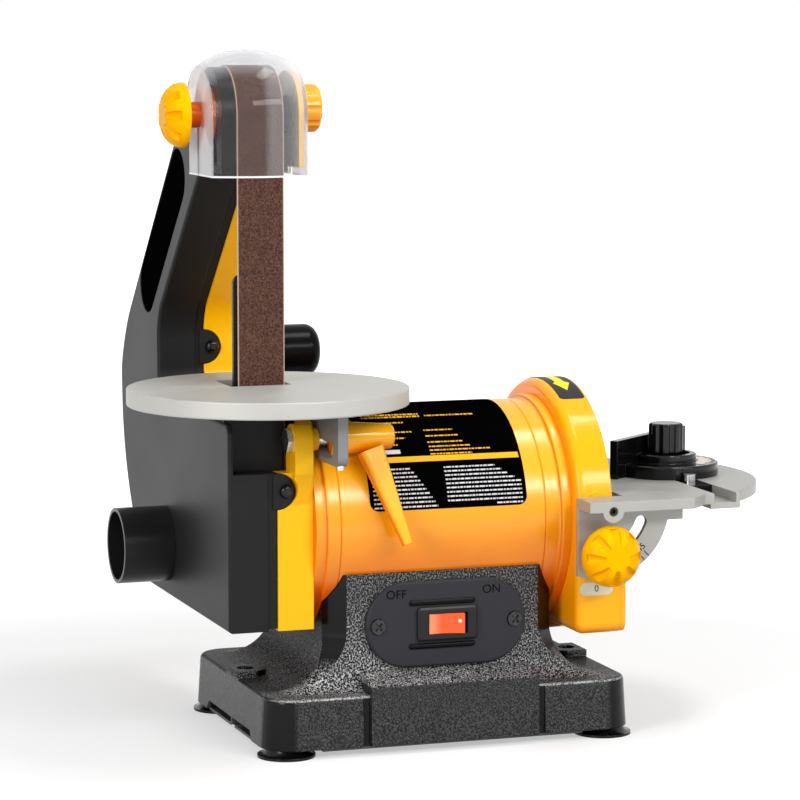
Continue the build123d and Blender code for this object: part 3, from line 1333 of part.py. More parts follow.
def wheel_yoke():
    cheek = arch_face(YOKE_R, YOKE_FLOOR) - arch_face(YOKE_R - YOKE_BAND, YOKE_FLOOR + YOKE_BRIDGE)
    cheek += Pos(TOP_Y, TOP_Z) * Circle(YOKE_BOSS_R)
    cheek += Pos(TOP_Y, TOP_Z) * Rectangle(2 * YOKE_R - YOKE_BAND, YOKE_BAR)
    yoke = slab_x(cheek, CHEEK_LEFT, CHEEK_LEFT + CHEEK_THICK)
    yoke += rod_x(YOKE_BOSS_R, YOKE_RIGHT, HEAD_LEFT, TOP_Y, TOP_Z)
    yoke += block((YOKE_RIGHT, YOKE_RIGHT + YOKE_POST), around(TOP_Y, YOKE_BOSS_R), (YOKE_FLOOR, TOP_Z))
    bridge_y = (TOP_Y - YOKE_R + YOKE_BAND, TOP_Y + YOKE_R - YOKE_BAND)
    yoke += block((CHEEK_LEFT, YOKE_RIGHT + YOKE_POST), bridge_y, (YOKE_FLOOR, YOKE_FLOOR + YOKE_BRIDGE))
    yoke -= slab_x(offset(housing_face(), 2 * PART_GAP), HOUSING_LEFT, HOUSING_RIGHT)
    yoke -= rod_x(AXLE_R + RUN_FIT, AXLE_LEFT, AXLE_RIGHT, TOP_Y, TOP_Z)
    return yoke - rod_x(TRACK_STUD_R + RUN_FIT, STUD_LEFT, HEAD_LEFT + CUT_OVER, TOP_Y, TRACK_Z)


def top_wheel_axle():
    return rod_x(AXLE_R, AXLE_LEFT + RUN_FIT, AXLE_RIGHT - RUN_FIT, TOP_Y, TOP_Z)


def head_bracket():
    plate = arch_face(HEAD_R, HEAD_FLOOR)
    foot = [along_arm(-inset, -ARM_END - drop) for inset, drop in HEAD_FOOT]
    neck = [(TOP_Y, TOP_Z), polar((TOP_Y, TOP_Z), HEAD_R, ARM_NORMAL)]
    plate += make_face(Polyline(*neck, *foot, close=True))
    plate -= Pos(TOP_Y, TRACK_Z) * Circle(TRACK_STUD_R + RUN_FIT)
    bracket = slab_x(plate, HEAD_LEFT, HEAD_RIGHT)
    for y, z in HEAD_SCREWS:
        bracket -= rod_x(SMALL_SCREW_R + BOLT_FIT, HEAD_LEFT - CUT_OVER, HEAD_RIGHT + CUT_OVER, y, z)
    return bracket


def lobed(radius, count, dent_r, dent_depth):
    """Round outline with a ring of dents."""
    face = Circle(radius)
    for k in range(count):
        face -= Pos(*polar((0, 0), radius + dent_r - dent_depth, 360 * k / count)) * Circle(dent_r)
    return face


def petal_knob(radius, height):
    """Domed knob along Z with its flat back at the origin and a ring of petal-shaped dents."""
    shoulder = (KNOB_SHOULDER[0] * radius, KNOB_SHOULDER[1] * height)
    crown = (KNOB_CROWN * radius, height)
    profile = make_face(
        [
            Line((0, 0), (radius, 0)),
            Line((radius, 0), (radius, KNOB_RIM)),
            ThreePointArc((radius, KNOB_RIM), shoulder, crown),
            Line(crown, (0, height)),
            Line((0, height), (0, 0)),
        ]
    )
    knob = revolve(Plane.XZ * profile, Axis.Z)
    start = Vector(PETAL_START[0] * radius, 0, PETAL_START[1] * height)
    end = Vector(PETAL_END[0] * radius, 0, PETAL_END[1] * height)
    outward = Vector(start.Z - end.Z, 0, end.X - start.X).normalized()
    start += outward * PETAL_LIFT[0]
    end += outward * PETAL_LIFT[1]
    line = end - start
    petal = Plane(start, z_dir=line) * Cone(*PETAL_R, line.length, align=BASE_ALIGN)
    for k in range(PETALS):
        knob -= Rot(0, 0, 360 * k / PETALS) * petal
    return knob


def tracking_knob():
    start = HOOD_RIGHT + PART_GAP
    grip = start + TRACK_COLLAR
    knob = slab_x(lobed(TRACK_R, TRACK_FLUTES, TRACK_FLUTE_R, TRACK_FLUTE_DEPTH), grip, grip + TRACK_LENGTH)
    knob = fillet(knob.faces().sort_by(Axis.X)[-1].edges(), TRACK_ROUND)
    knob += rod_x(TRACK_COLLAR_R, start, grip, 0, 0)
    knob += rod_x(TRACK_STUD_R, STUD_LEFT + PART_GAP, start, 0, 0)
    return Pos(0, TOP_Y, TRACK_Z) * knob


def knob_stem():
    end = CHEEK_LEFT - SEAT_GAP
    stem = rod_x(STEM_R, STAR_RIGHT, end, TOP_Y, TOP_Z)
    return stem + rod_x(STEM_FLANGE_R, end - STEM_FLANGE, end, TOP_Y, TOP_Z)


def star_knob():
    return Pos(STAR_RIGHT, TOP_Y, TOP_Z) * Rot(0, -90, 0) * petal_knob(STAR_R, STAR_LENGTH)


def hood_section(inset):
    """Section of the hood in (x, radius): upright sides under an arched crown."""
    left = HOOD_LEFT + inset
    right = HOOD_RIGHT - inset
    edge = HOOD_EDGE_R - inset
    return make_face(
        [
            Line((left, 0), (left, edge)),
            ThreePointArc((left, edge), ((left + right) / 2, HOOD_CROWN_R - inset), (right, edge)),
            Line((right, edge), (right, 0)),
            Line((right, 0), (left, 0)),
        ]
    )


def hood_body(inset, bottom):
    """Dome over the top wheel with straight walls below the axle."""
    section = hood_section(inset)
    dome = Pos(0, TOP_Y, TOP_Z) * revolve(section, Axis.X)
    dome &= block((HOOD_LEFT, HOOD_RIGHT), around(TOP_Y, 2 * HOOD_CROWN_R), (TOP_Z, TOP_Z + HOOD_CROWN_R))
    skirt = Pos(0, TOP_Y, 0) * mirror(slab_z(section, bottom, TOP_Z), Plane.XZ)
    skirt += block((HOOD_LEFT + inset, HOOD_RIGHT - inset), (TOP_Y, TOP_Y + HOOD_BACK), (bottom, TOP_Z))
    return dome + skirt


def clear_hood():
    hood = hood_body(0, HOOD_BOTTOM) - hood_body(HOOD_WALL, HOOD_BOTTOM - CUT_OVER)
    far = 2 * HOOD_CROWN_R
    back = make_face(
        Polyline(
            (TOP_Y + HOOD_BACK - HOOD_WALL, HOOD_BOTTOM - CUT_OVER),
            (TOP_Y + HOOD_BACK - HOOD_WALL, TOP_Z + HOOD_BACK * math.tan(math.radians(HOOD_BACK_ANGLE))),
            polar((TOP_Y, TOP_Z), far, HOOD_BACK_ANGLE),
            (TOP_Y + far, HOOD_BOTTOM - CUT_OVER),
            close=True,
        )
    )
    hood -= slab_x(back, HOOD_LEFT - CUT_OVER, HOOD_RIGHT + CUT_OVER)
    left = (HOOD_LEFT - CUT_OVER, HOOD_LEFT + HOOD_WALL + CUT_OVER)
    right = (HOOD_RIGHT - HOOD_WALL - CUT_OVER, HOOD_RIGHT + CUT_OVER)
    stud = TRACK_STUD_R + PART_GAP
    holes = ((left, STEM_R + PART_GAP, TOP_Z, HOOD_SLIT), (right, stud, TRACK_Z, 2 * stud))
    for ends, radius, z, slit in holes:
        hood -= rod_x(radius, *ends, TOP_Y, z)
        hood -= block(ends, around(TOP_Y, slit), (HOOD_BOTTOM - CUT_OVER, z))
    return hood


# Belt tension
def tension_arm():
    pivot = (TENSION_PIVOT_Y, TENSION_PIVOT_Z)
    link = SlotCenterPoint(halfway(pivot, GRIP_CENTRE), GRIP_CENTRE, 2 * TENSION_ARM_R)
    link -= Pos(*pivot) * Circle(TENSION_PIN_R + RUN_FIT)
    link -= Pos(REAR_Y, REAR_Z) * Circle(AXLE_R + RUN_FIT)
    arm = slab_x(link, TENSION_LEFT, TENSION_RIGHT)
    return arm + rod_x(GRIP_STUD_R, TENSION_RIGHT, GRIP_STUD_END, *GRIP_CENTRE)


def tension_pin():
    pin = rod_x(TENSION_PIN_R, FRAME_PLATE_LEFT, TENSION_RIGHT + PART_GAP, TENSION_PIVOT_Y, TENSION_PIVOT_Z)
    head = (TENSION_RIGHT + PART_GAP, TENSION_RIGHT + PART_GAP + TENSION_HEAD)
    return pin + rod_x(2 * TENSION_PIN_R, *head, TENSION_PIVOT_Y, TENSION_PIVOT_Z)


def rear_axle():
    axle = rod_x(AXLE_R, WHEEL_LEFT - PART_GAP, TENSION_RIGHT, REAR_Y, REAR_Z)
    return axle + rod_x(2 * AXLE_R, WHEEL_LEFT - PART_GAP - AXLE_HEAD, WHEEL_LEFT - PART_GAP, REAR_Y, REAR_Z)


def tension_grip():
    start = TENSION_RIGHT + SEAT_GAP
    grip = rod_x(GRIP_R, start, GRIP_END, *GRIP_CENTRE)
    grip = fillet(grip.edges().sort_by(Axis.X)[-1], GRIP_R / 2)
    return grip - rod_x(GRIP_STUD_R + RUN_FIT, start - CUT_OVER, GRIP_STUD_END + PART_GAP, *GRIP_CENTRE)


# Disc side
def guard_face():
    """D-shaped outline of the disc guard in (y, z), with a belly under the disc."""
    face = make_face(
        [
            arc_about((0, AXIS_Z), GUARD_R, 0, 180),
            Line((-GUARD_R, AXIS_Z), (-GUARD_R, GUARD_BOTTOM)),
            Line((-GUARD_R, GUARD_BOTTOM), (GUARD_R, GUARD_BOTTOM)),
            Line((GUARD_R, GUARD_BOTTOM), (GUARD_R, AXIS_Z)),
        ]
    )
    face += Pos(0, AXIS_Z) * Circle(DISC_R + GUARD_DISC_GAP + GUARD_WALL)
    face = rounded(face, (-GUARD_R, GUARD_BOTTOM), GUARD_CORNER_R)
    return rounded(face, (GUARD_R, GUARD_BOTTOM), GUARD_CORNER_R)


def lower_guard_face(inset):
    """The part of the guard's outline that the lower cover closes."""
    face = offset(guard_face(), -inset)
    return face & Pos(0, GUARD_STEP_Z) * Rectangle(2 * GUARD_R, GUARD_R, align=(Align.CENTER, Align.MAX))


def disc_guard():
    guard = slab_x(guard_face(), GUARD_LEFT, GUARD_RIM)
    guard = fillet(guard.faces().sort_by(Axis.X)[0].edges(), GUARD_EDGE_R)
    guard += slab_x(lower_guard_face(SEAT_GAP), GUARD_RIM, GUARD_LOWER_RIM)
    back = GUARD_LEFT + GUARD_BACK
    guard -= slab_x(offset(guard_face(), -GUARD_WALL), back, GUARD_LOWER_RIM + CUT_OVER)
    guard -= rod_x(SHAFT_HOLE_R, GUARD_LEFT - CUT_OVER, back + CUT_OVER, 0, AXIS_Z)
    for y, z in MOTOR_SCREWS:
        guard -= rod_x(MOTOR_SCREW_R + BOLT_FIT, GUARD_LEFT - CUT_OVER, back + CUT_OVER, y, z)
    for y, z in LOWER_COVER_SCREWS:
        guard += rod_x(LOWER_COVER_BOSS_R, back, GUARD_LOWER_RIM, y, z)
        grip = (GUARD_LOWER_RIM - LOWER_COVER_GRIP, GUARD_LOWER_RIM + CUT_OVER)
        guard -= rod_x(SMALL_SCREW_R + BOLT_FIT, *grip, y, z)
    for side in (-1, 1):
        boss = sorted((side * (GUARD_R - GUARD_WALL + SEAT_GAP), side * (QUADRANT_BACK - PART_GAP)))
        guard += rod_y(PIVOT_BOSS_R, *boss, PIVOT_X, PIVOT_Z)
        hole = sorted((side * (GUARD_R - 2 * GUARD_WALL), side * QUADRANT_BACK))
        guard -= rod_y(PIVOT_SCREW_R + RUN_FIT, *hole, PIVOT_X, PIVOT_Z)
    return guard - rod_y(LOCK_STUD_R + RUN_FIT, -GUARD_R - CUT_OVER, LOCK_STUD_BACK, PIVOT_X, LOCK_Z)


def disc_lower_cover():
    outside = GUARD_LOWER_RIM + LOWER_COVER
    cover = slab_x(lower_guard_face(PART_GAP), GUARD_LOWER_RIM, outside)
    for y, z in LOWER_COVER_SCREWS:
        cover -= rod_x(SMALL_SCREW_R + BOLT_FIT, GUARD_LOWER_RIM - CUT_OVER, outside + CUT_OVER, y, z)
    return cover


def disc_plate():
    bore = SHAFT_R + RUN_FIT
    right = DISC_LEFT + DISC_PLATE
    points = [
        (DISC_HUB_LEFT, bore),
        (DISC_HUB_LEFT, DISC_HUB_R),
        (DISC_LEFT, DISC_HUB_R),
        (DISC_LEFT, DISC_R),
        (right, DISC_R),
        (right, 0),
        (SHAFT_RIGHT + RUN_FIT, 0),
        (SHAFT_RIGHT + RUN_FIT, bore),
    ]
    return turned_x(points, 0, AXIS_Z)


def abrasive_disc():
    right = DISC_LEFT + DISC_PLATE
    return rod_x(DISC_R - PART_GAP, right, right + DISC_PAPER, 0, AXIS_Z)


def disc_pivot_screws():
    screws = []
    for side in (-1, 1):
        ends = sorted((side * (GUARD_R - GUARD_WALL), side * PIVOT_SCREW_END))
        socket = sorted((side * PIVOT_SCREW_END, side * (PIVOT_SCREW_END - PIVOT_SOCKET)))
        key = Pos(PIVOT_X, PIVOT_Z) * RegularPolygon(PIVOT_KEY_R, 6)
        screws.append(rod_y(PIVOT_SCREW_R, *ends, PIVOT_X, PIVOT_Z) - slab_y(key, *socket))
    return screws


def disc_lock_stud():
    return rod_y(LOCK_STUD_R, LOCK_STUD_FRONT, LOCK_STUD_BACK, PIVOT_X, LOCK_Z)


def disc_table_top():
    """Plan of the disc table in (x, y): two ears beside the disc and a round outer edge."""
    front = DISC_TABLE_FRONT
    outer_x = DISC_TABLE_OUTER - DISC_TABLE_R
    tip_y = DISC_TABLE_MOUTH
    tip_x = outer_x + math.sqrt(DISC_TABLE_R**2 - tip_y**2)
    right_half = [
        (DISC_TABLE_LEFT, DISC_TABLE_EAR),
        (DISC_TABLE_LEFT, front),
        (DISC_TABLE_CHAMFER_X, front),
        (DISC_TABLE_CHAMFER_X + front - tip_y, tip_y),
        (tip_x, tip_y),
    ]
    front_edge = [(x, -y) for x, y in right_half]
    return make_face(
        [
            Polyline((DISC_TABLE_INNER, -DISC_TABLE_EAR), *front_edge),
            ThreePointArc((tip_x, -tip_y), (DISC_TABLE_OUTER, 0), (tip_x, tip_y)),
            Polyline(*reversed(right_half), (DISC_TABLE_INNER, DISC_TABLE_EAR)),
            Line((DISC_TABLE_INNER, DISC_TABLE_EAR), (DISC_TABLE_INNER, -DISC_TABLE_EAR)),
        ]
    )


def quadrant_face():
    """Quadrant plate in (x, z) with its curved slot."""
    pivot = (PIVOT_X, PIVOT_Z)
    blank = Pos(*pivot) * Circle(QUADRANT_R)
    blank &= Pos(DISC_TABLE_LEFT, PIVOT_Z) * Rectangle(
        4 * QUADRANT_R, 2 * QUADRANT_R, align=(Align.MIN, Align.MAX)
    )
    toe = QUADRANT_RIGHT - PIVOT_X
    blank += Pos(PIVOT_X + toe / 2, DISC_TABLE_BOTTOM - QUADRANT_TOE / 2) * Rectangle(toe, QUADRANT_TOE)
    blank &= Pos(DISC_TABLE_LEFT, DISC_TABLE_BOTTOM) * Rectangle(
        4 * QUADRANT_R, 2 * QUADRANT_R, align=(Align.MIN, Align.MAX)
    )
    track = arc_about(pivot, QUADRANT_SLOT_R, -90 - QUADRANT_OVER, -90 + TILT_MAX + 4 * QUADRANT_OVER)
    blank -= SlotArc(track, 2 * (LOCK_STUD_R + PART_GAP + QUADRANT_SLOT_FIT))
    return blank - Pos(*pivot) * Circle(PIVOT_SCREW_R + RUN_FIT)


def disc_table():
    table = slab_z(disc_table_top(), DISC_TABLE_BOTTOM, DISC_TABLE_TOP)
    channel_x = around(MITER_SLOT_X, MITER_SLOT_WIDTH + 2 * CHANNEL_WALL)
    slot_floor = DISC_TABLE_TOP - MITER_SLOT_DEPTH
    mouth = (-DISC_TABLE_MOUTH, DISC_TABLE_MOUTH)
    table += block(channel_x, mouth, (slot_floor - CHANNEL_FLOOR, DISC_TABLE_TOP))
    far = (-DISC_TABLE_R, DISC_TABLE_R)
    table -= block(around(MITER_SLOT_X, MITER_SLOT_WIDTH), far, (slot_floor, DISC_TABLE_TOP + CUT_OVER))
    bevel = make_face(
        Polyline(
            (DISC_TABLE_INNER, DISC_TABLE_BOTTOM),
            (DISC_TABLE_INNER, DISC_TABLE_TOP - DISC_TABLE_LIP),
            (DISC_TABLE_INNER + DISC_TABLE_THICK - DISC_TABLE_LIP, DISC_TABLE_BOTTOM),
            close=True,
        )
    )
    table -= slab_y(bevel, -DISC_TABLE_EAR, DISC_TABLE_EAR)
    for side in (-1, 1):
        quadrant_y = sorted((side * QUADRANT_BACK, side * (QUADRANT_BACK + QUADRANT_THICK)))
        lug_y = sorted((side * (DISC_TABLE_FRONT - PIVOT_LUG), side * DISC_TABLE_FRONT))
        screw_y = sorted((side * QUADRANT_BACK, side * (DISC_TABLE_FRONT + CUT_OVER)))
        table += slab_y(quadrant_face(), *quadrant_y)
        table += rod_y(PIVOT_LUG_R, *lug_y, PIVOT_X, PIVOT_Z) & block(
            around(PIVOT_X, 4 * PIVOT_LUG_R), lug_y, (GUARD_BOTTOM, DISC_TABLE_TOP)
        )
        table -= rod_y(PIVOT_SCREW_R + RUN_FIT, *screw_y, PIVOT_X, PIVOT_Z)
    return table


def disc_lock_knob():
    back = -QUADRANT_BACK - QUADRANT_THICK - PART_GAP
    neck = back - LOCK_NECK
    knob = Pos(0, neck, 0) * Rot(90, 0, 0) * petal_knob(LOCK_KNOB_R, LOCK_KNOB_LENGTH)
    knob += rod_y(LOCK_KNOB_R / 2, neck, back, 0, 0)
    knob -= rod_y(LOCK_STUD_R + RUN_FIT, LOCK_STUD_FRONT - PART_GAP, back + CUT_OVER, 0, 0)
    return Pos(PIVOT_X, 0, LOCK_Z) * knob


# Miter gauge
def miter_bar():
    width = MITER_SLOT_WIDTH - 2 * MITER_FIT
    low = DISC_TABLE_TOP - MITER_SLOT_DEPTH + SEAT_GAP
    ends = (MITER_BAR_FRONT, MITER_BAR_FRONT + MITER_BAR_LENGTH)
    bar = block(around(MITER_SLOT_X, width), ends, (low, MITER_BAR_TOP))
    bar -= rod_z(POINTER_R + BOLT_FIT, MITER_BAR_TOP - POINTER_GRIP, MITER_TOP, MITER_SLOT_X, POINTER_Y)
    return bar + rod_z(MITER_STUD_R, MITER_BAR_TOP - CUT_OVER, MITER_STUD_TOP, MITER_SLOT_X, MITER_PIVOT_Y)


def pointer_screw():
    top = MITER_BAR_TOP + POINTER_HEAD
    screw = rod_z(POINTER_R, MITER_BAR_TOP - POINTER_GRIP + BOLT_FIT, MITER_BAR_TOP, MITER_SLOT_X, POINTER_Y)
    return screw + rod_z(POINTER_HEAD_R, MITER_BAR_TOP, top, MITER_SLOT_X, POINTER_Y)


def miter_head():
    low = MITER_HEAD_BOTTOM
    top = low + MITER_PLATE
    rim = top + MITER_BOSS
    reach = FENCE_OFFSET + FENCE_THICK
    plan = Circle(MITER_PLATE_R) & Pos(0, reach) * Rectangle(
        2 * MITER_PLATE_R, MITER_PLATE_R + reach, align=(Align.CENTER, Align.MAX)
    )
    plate = slab_z(plan, low, top)
    head = fillet(plate.edges().group_by(Axis.Z)[-1], MITER_ROUND)
    boss = rod_z(MITER_BOSS_R, low, rim, 0, 0)
    head += fillet(boss.edges().group_by(Axis.Z)[-1], MITER_ROUND)
    head -= rod_z(MITER_BOWL_R, rim - MITER_BOWL, rim + CUT_OVER, 0, 0)
    head += rod_z(MITER_SEAT_R, rim - MITER_BOWL, rim, 0, 0)
    head += block(FENCE_REACH, (FENCE_OFFSET, FENCE_OFFSET + FENCE_THICK), (low, low + FENCE_HEIGHT))
    head -= rod_z(MITER_STUD_R + RUN_FIT, low - CUT_OVER, rim + CUT_OVER, 0, 0)
    return Pos(MITER_SLOT_X, MITER_PIVOT_Y, 0) * Rot(0, 0, MITER_ANGLE) * head


def miter_knob():
    low = MITER_HEAD_BOTTOM + MITER_PLATE + MITER_BOSS + PART_GAP
    face = lobed(MITER_KNOB_R, MITER_KNOB_LOBES, MITER_DENT_R, MITER_DENT_DEPTH)
    knob = slab_z(face, low, MITER_KNOB_TOP)
    limit = rod_z(MITER_KNOB_R, low, MITER_KNOB_TOP, 0, 0)
    knob &= fillet(limit.edges().group_by(Axis.Z)[-1], MITER_KNOB_ROUND)
    knob -= rod_z(MITER_STUD_R + RUN_FIT, low - CUT_OVER, MITER_STUD_TOP + PART_GAP, 0, 0)
    return Pos(MITER_SLOT_X, MITER_PIVOT_Y, 0) * knob


pieces = {
    "base_casting": base_casting(),
    "rubber_feet": rubber_feet(),
    "foot_screws": foot_screws(),
    "bottom_plate": bottom_plate(),
    "capacitor": capacitor(),
    "switch_plate": switch_plate(),
    "switch_plate_screws": switch_plate_screws(),
    "switch_housing": switch_housing(),
    "rocker": rocker(),
    "motor_shell": motor_shell(),
    "motor_left_bell": end_bell(HOUSING_RIGHT, MOTOR_R - BELL_STEP),
    "motor_right_bell": end_bell(GUARD_LEFT, MOTOR_R + BELL_STEP),
    "stator": stator(),
    "rotor_core": rotor_core(),
    "motor_shaft": motor_shaft(),
    "shaft_bearings": shaft_bearings(),
    "flange_screws": flange_screws(FRAME_PLATE_LEFT, 1) + flange_screws(GUARD_LEFT + GUARD_BACK, -1),
    "belt_frame": belt_frame(),
    "belt_cover": belt_cover(),
    "cover_screws": cover_screws(),
    "dust_port": dust_port(),
    "sanding_belt": sanding_belt(),
    "drive_wheel": drive_wheel(),
    "drive_wheel_nut": drive_wheel_nut(),
    "platen": platen(),
    "platen_screws": small_screws(PLATEN_SCREWS, FRAME_PLATE_LEFT - PLATEN_THICK, PLATEN_GRIP),
    "belt_table": belt_table(),
    "table_trunnion": table_trunnion(),
    "trunnion_screws": trunnion_screws(),
    "table_stop_screw": table_stop_screw(),
    "clamp_bolt": clamp_bolt(),
    "clamp_lever": clamp_lever(),
    "top_wheel": idler_wheel(TOP_R, TOP_Y, TOP_Z),
    "top_wheel_bearings": idler_bearings(TOP_Y, TOP_Z),
    "top_wheel_axle": top_wheel_axle(),
    "wheel_yoke": wheel_yoke(),
    "head_bracket": head_bracket(),
    "head_bracket_screws": small_screws(HEAD_SCREWS, HEAD_RIGHT, FRAME_PLATE_LEFT - HEAD_RIGHT),
    "tracking_knob": tracking_knob(),
    "star_knob": star_knob(),
    "knob_stem": knob_stem(),
    "clear_hood": clear_hood(),
    "rear_wheel": idler_wheel(REAR_R, REAR_Y, REAR_Z),
    "rear_wheel_bearings": idler_bearings(REAR_Y, REAR_Z),
    "rear_axle": rear_axle(),
    "tension_arm": tension_arm(),
    "tension_pin": tension_pin(),
    "tension_grip": tension_grip(),
    "disc_guard": disc_guard(),
    "disc_lower_cover": disc_lower_cover(),
    "disc_plate": disc_plate(),
    "abrasive_disc": abrasive_disc(),
    "disc_pivot_screws": disc_pivot_screws(),
    "disc_lock_stud": disc_lock_stud(),
    "disc_table": disc_table(),
    "disc_lock_knob": disc_lock_knob(),
    "miter_bar": miter_bar(),
    "pointer_screw": pointer_screw(),
    "miter_head": miter_head(),
    "miter_knob": miter_knob(),
}

os.makedirs("parts", exist_ok=True)
for name, shape in pieces.items():
    solids = shape if isinstance(shape, list) else [shape]
    export_step(Compound(children=solids), f"parts/{name}.step")
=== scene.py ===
import math

import bmesh
import bpy
from mathutils import Matrix, Vector


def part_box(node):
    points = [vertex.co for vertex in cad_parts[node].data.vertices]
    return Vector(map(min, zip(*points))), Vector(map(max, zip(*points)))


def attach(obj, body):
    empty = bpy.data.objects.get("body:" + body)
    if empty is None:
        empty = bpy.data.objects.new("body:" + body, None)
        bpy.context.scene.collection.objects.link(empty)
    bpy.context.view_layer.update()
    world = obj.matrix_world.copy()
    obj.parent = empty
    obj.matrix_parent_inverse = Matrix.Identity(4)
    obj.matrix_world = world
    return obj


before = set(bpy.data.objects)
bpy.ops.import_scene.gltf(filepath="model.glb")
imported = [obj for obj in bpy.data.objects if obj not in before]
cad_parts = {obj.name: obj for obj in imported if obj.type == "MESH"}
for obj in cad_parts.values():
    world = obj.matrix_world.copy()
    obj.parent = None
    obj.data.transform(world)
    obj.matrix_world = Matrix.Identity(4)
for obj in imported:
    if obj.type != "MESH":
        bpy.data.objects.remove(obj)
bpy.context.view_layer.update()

# Looks of a bench sander with a narrow belt and a disc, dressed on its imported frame.
# Lengths are in metres in the frame's own axes:
# X along the motor from belt to disc, -Y to the operator, +Z up.
MM = 0.001

# Camera at the photograph's viewing angle
CAMERA_AT = (-0.58815, -1.72113, 0.392)
CAMERA_PITCH = 6.72
CAMERA_YAW = 18.72
CAMERA_LENS = 151.2
CAMERA_SENSOR = 36.0
CAMERA_FAR = 100.0

# Light
WORLD_FILL = 0.5
KEY_AT = (0.64, -1.66, 1.06)
KEY_SIZE = (1.5, 0.32)
KEY_POWER = 20.5
TOP_AT = (0.5, -0.25, 1.8)
TOP_SIZE = (0.7, 0.3)
TOP_POWER = 9.0
SIDE_AT = (-1.5, -1.0, 0.7)
SIDE_SIZE = (0.5, 0.8)
SIDE_POWER = 15.0
AIM = (0.0, 0.0, 0.14)
FLOOR_HALF = 30.0
FLOOR_TONE = 196
FLOOR_FADE = (0.35, 0.9)
FLOOR_GLOW = (0.46, 1.0)
FLOOR_ROUGHNESS = 0.9
FLOOR_SPECULAR = 0.1

# Places on the machine that the trim is set out from
BASE_TOP = 32 * MM
PANEL_HALF = 47 * MM
PANEL_TOP = 36.4 * MM
GROOVE_WIDTH = 4 * MM
AXIS_Z = 116 * MM
MOTOR_R = 60 * MM
GUARD_R = 71 * MM
QUADRANT_PIVOT = (83 * MM, 125.3 * MM)
QUADRANT_R = 39 * MM
QUADRANT_FRONT = -76 * MM
MITER_PIVOT = (152.3 * MM, 0.0)
MITER_PLATE = 7.0 * MM
SWITCH_FACE = -60 * MM
SWITCH_RIBS = (SWITCH_FACE - 0.3 * MM, SWITCH_FACE - 0.8 * MM)
ROCKER_X = 1 * MM
ROCKER_FADE = (ROCKER_X - 3 * MM, ROCKER_X - 8 * MM)
BELT_X = -92.2 * MM
BELT_HALF = 12.7 * MM
HOOD_FOOT = 302 * MM

# Ways that a surface can look; the lit ways and span set where orange paint carries painted light, and where
# it turns to painted shade
FRONT_WAY = (0.0, -1.0, 0.0)
LEFT_WAY = (-1.0, 0.0, 0.0)
TOP_WAY = (0.0, 0.8, 1.0)
LIT_WAY = (0.2, -0.6, 0.77)
MOTOR_LIT_WAY = (0.1, -0.32, 0.94)
LIT_SPAN = (-0.25, 0.68)
FULL = (0.0, 1.0)


def srgb(red, green, blue):
    """Linear colour, with alpha, of a display colour given in steps of 255."""
    linear = [c / 255 for c in (red, green, blue)]
    linear = [c / 12.92 if c <= 0.04045 else ((c + 0.055) / 1.055) ** 2.4 for c in linear]
    return (*linear, 1.0)


def greys(dark, light):
    """Two neutral tones, as colours."""
    return srgb(dark, dark, dark + 1), srgb(light, light, light + 1)


# Node helpers
def new_material(name):
    """An empty node material with its tree and its main shader."""
    material = bpy.data.materials.new(name)
    material.use_nodes = True
    tree = material.node_tree
    return material, tree, tree.nodes["Principled BSDF"]


def feed(tree, socket, value):
    """Link an output into a socket, or set the socket to a plain value."""
    if isinstance(value, bpy.types.NodeSocket):
        tree.links.new(value, socket)
    else:
        socket.default_value = value


def place(tree, stretch=(1.0, 1.0, 1.0)):
    """The piece's own coordinates, stretched where a pattern runs along one way."""
    coordinates = tree.nodes.new("ShaderNodeTexCoord").outputs["Object"]
    mapping = tree.nodes.new("ShaderNodeMapping")
    mapping.inputs["Scale"].default_value = stretch
    tree.links.new(coordinates, mapping.inputs["Vector"])
    return mapping.outputs["Vector"]


def noise(tree, grain, detail=2.0, stretch=(1.0, 1.0, 1.0)):
    """A soft random field whose patches are about one grain wide."""
    node = tree.nodes.new("ShaderNodeTexNoise")
    node.inputs["Scale"].default_value = 1.0 / grain
    node.inputs["Detail"].default_value = detail
    tree.links.new(place(tree, stretch), node.inputs["Vector"])
    return node.outputs["Fac"]


def spread(tree, value, source, target):
    """Map one range of a field onto another, held at its ends."""
    node = tree.nodes.new("ShaderNodeMapRange")
    tree.links.new(value, node.inputs["Value"])
    for name, number in zip(("From Min", "From Max", "To Min", "To Max"), (*source, *target)):
        node.inputs[name].default_value = number
    return node.outputs["Result"]


def sums(tree, operation, *values):
    """One arithmetic step on fields and plain numbers."""
    node = tree.nodes.new("ShaderNodeMath")
    node.operation = operation
    for socket, value in zip(node.inputs, values):
        feed(tree, socket, value)
    return node.outputs[0]


def product(tree, first, *others):
    """Product of several fields."""
    for field in others:
        first = sums(tree, "MULTIPLY", first, field)
    return first


def mix(tree, factor, first, second):
    """Blend of two colours by a field."""
    node = tree.nodes.new("ShaderNodeMix")
    node.data_type = "RGBA"
    tree.links.new(factor, node.inputs["Factor"])
    feed(tree, node.inputs[6], first)
    feed(tree, node.inputs[7], second)
    return node.outputs[2]


def facing(tree, direction, source):
    """How far a surface looks along a direction of the piece, from 0 to 1."""
    normal = tree.nodes.new("ShaderNodeTexCoord").outputs["Normal"]
    node = tree.nodes.new("ShaderNodeVectorMath")
    node.operation = "DOT_PRODUCT"
    tree.links.new(normal, node.inputs[0])
    node.inputs[1].default_value = direction
    return spread(tree, node.outputs["Value"], source, FULL)


def parts_of(tree, vector):
    """The X, Y and Z of a vector."""
    node = tree.nodes.new("ShaderNodeSeparateXYZ")
    tree.links.new(vector, node.inputs["Vector"])
    return node.outputs


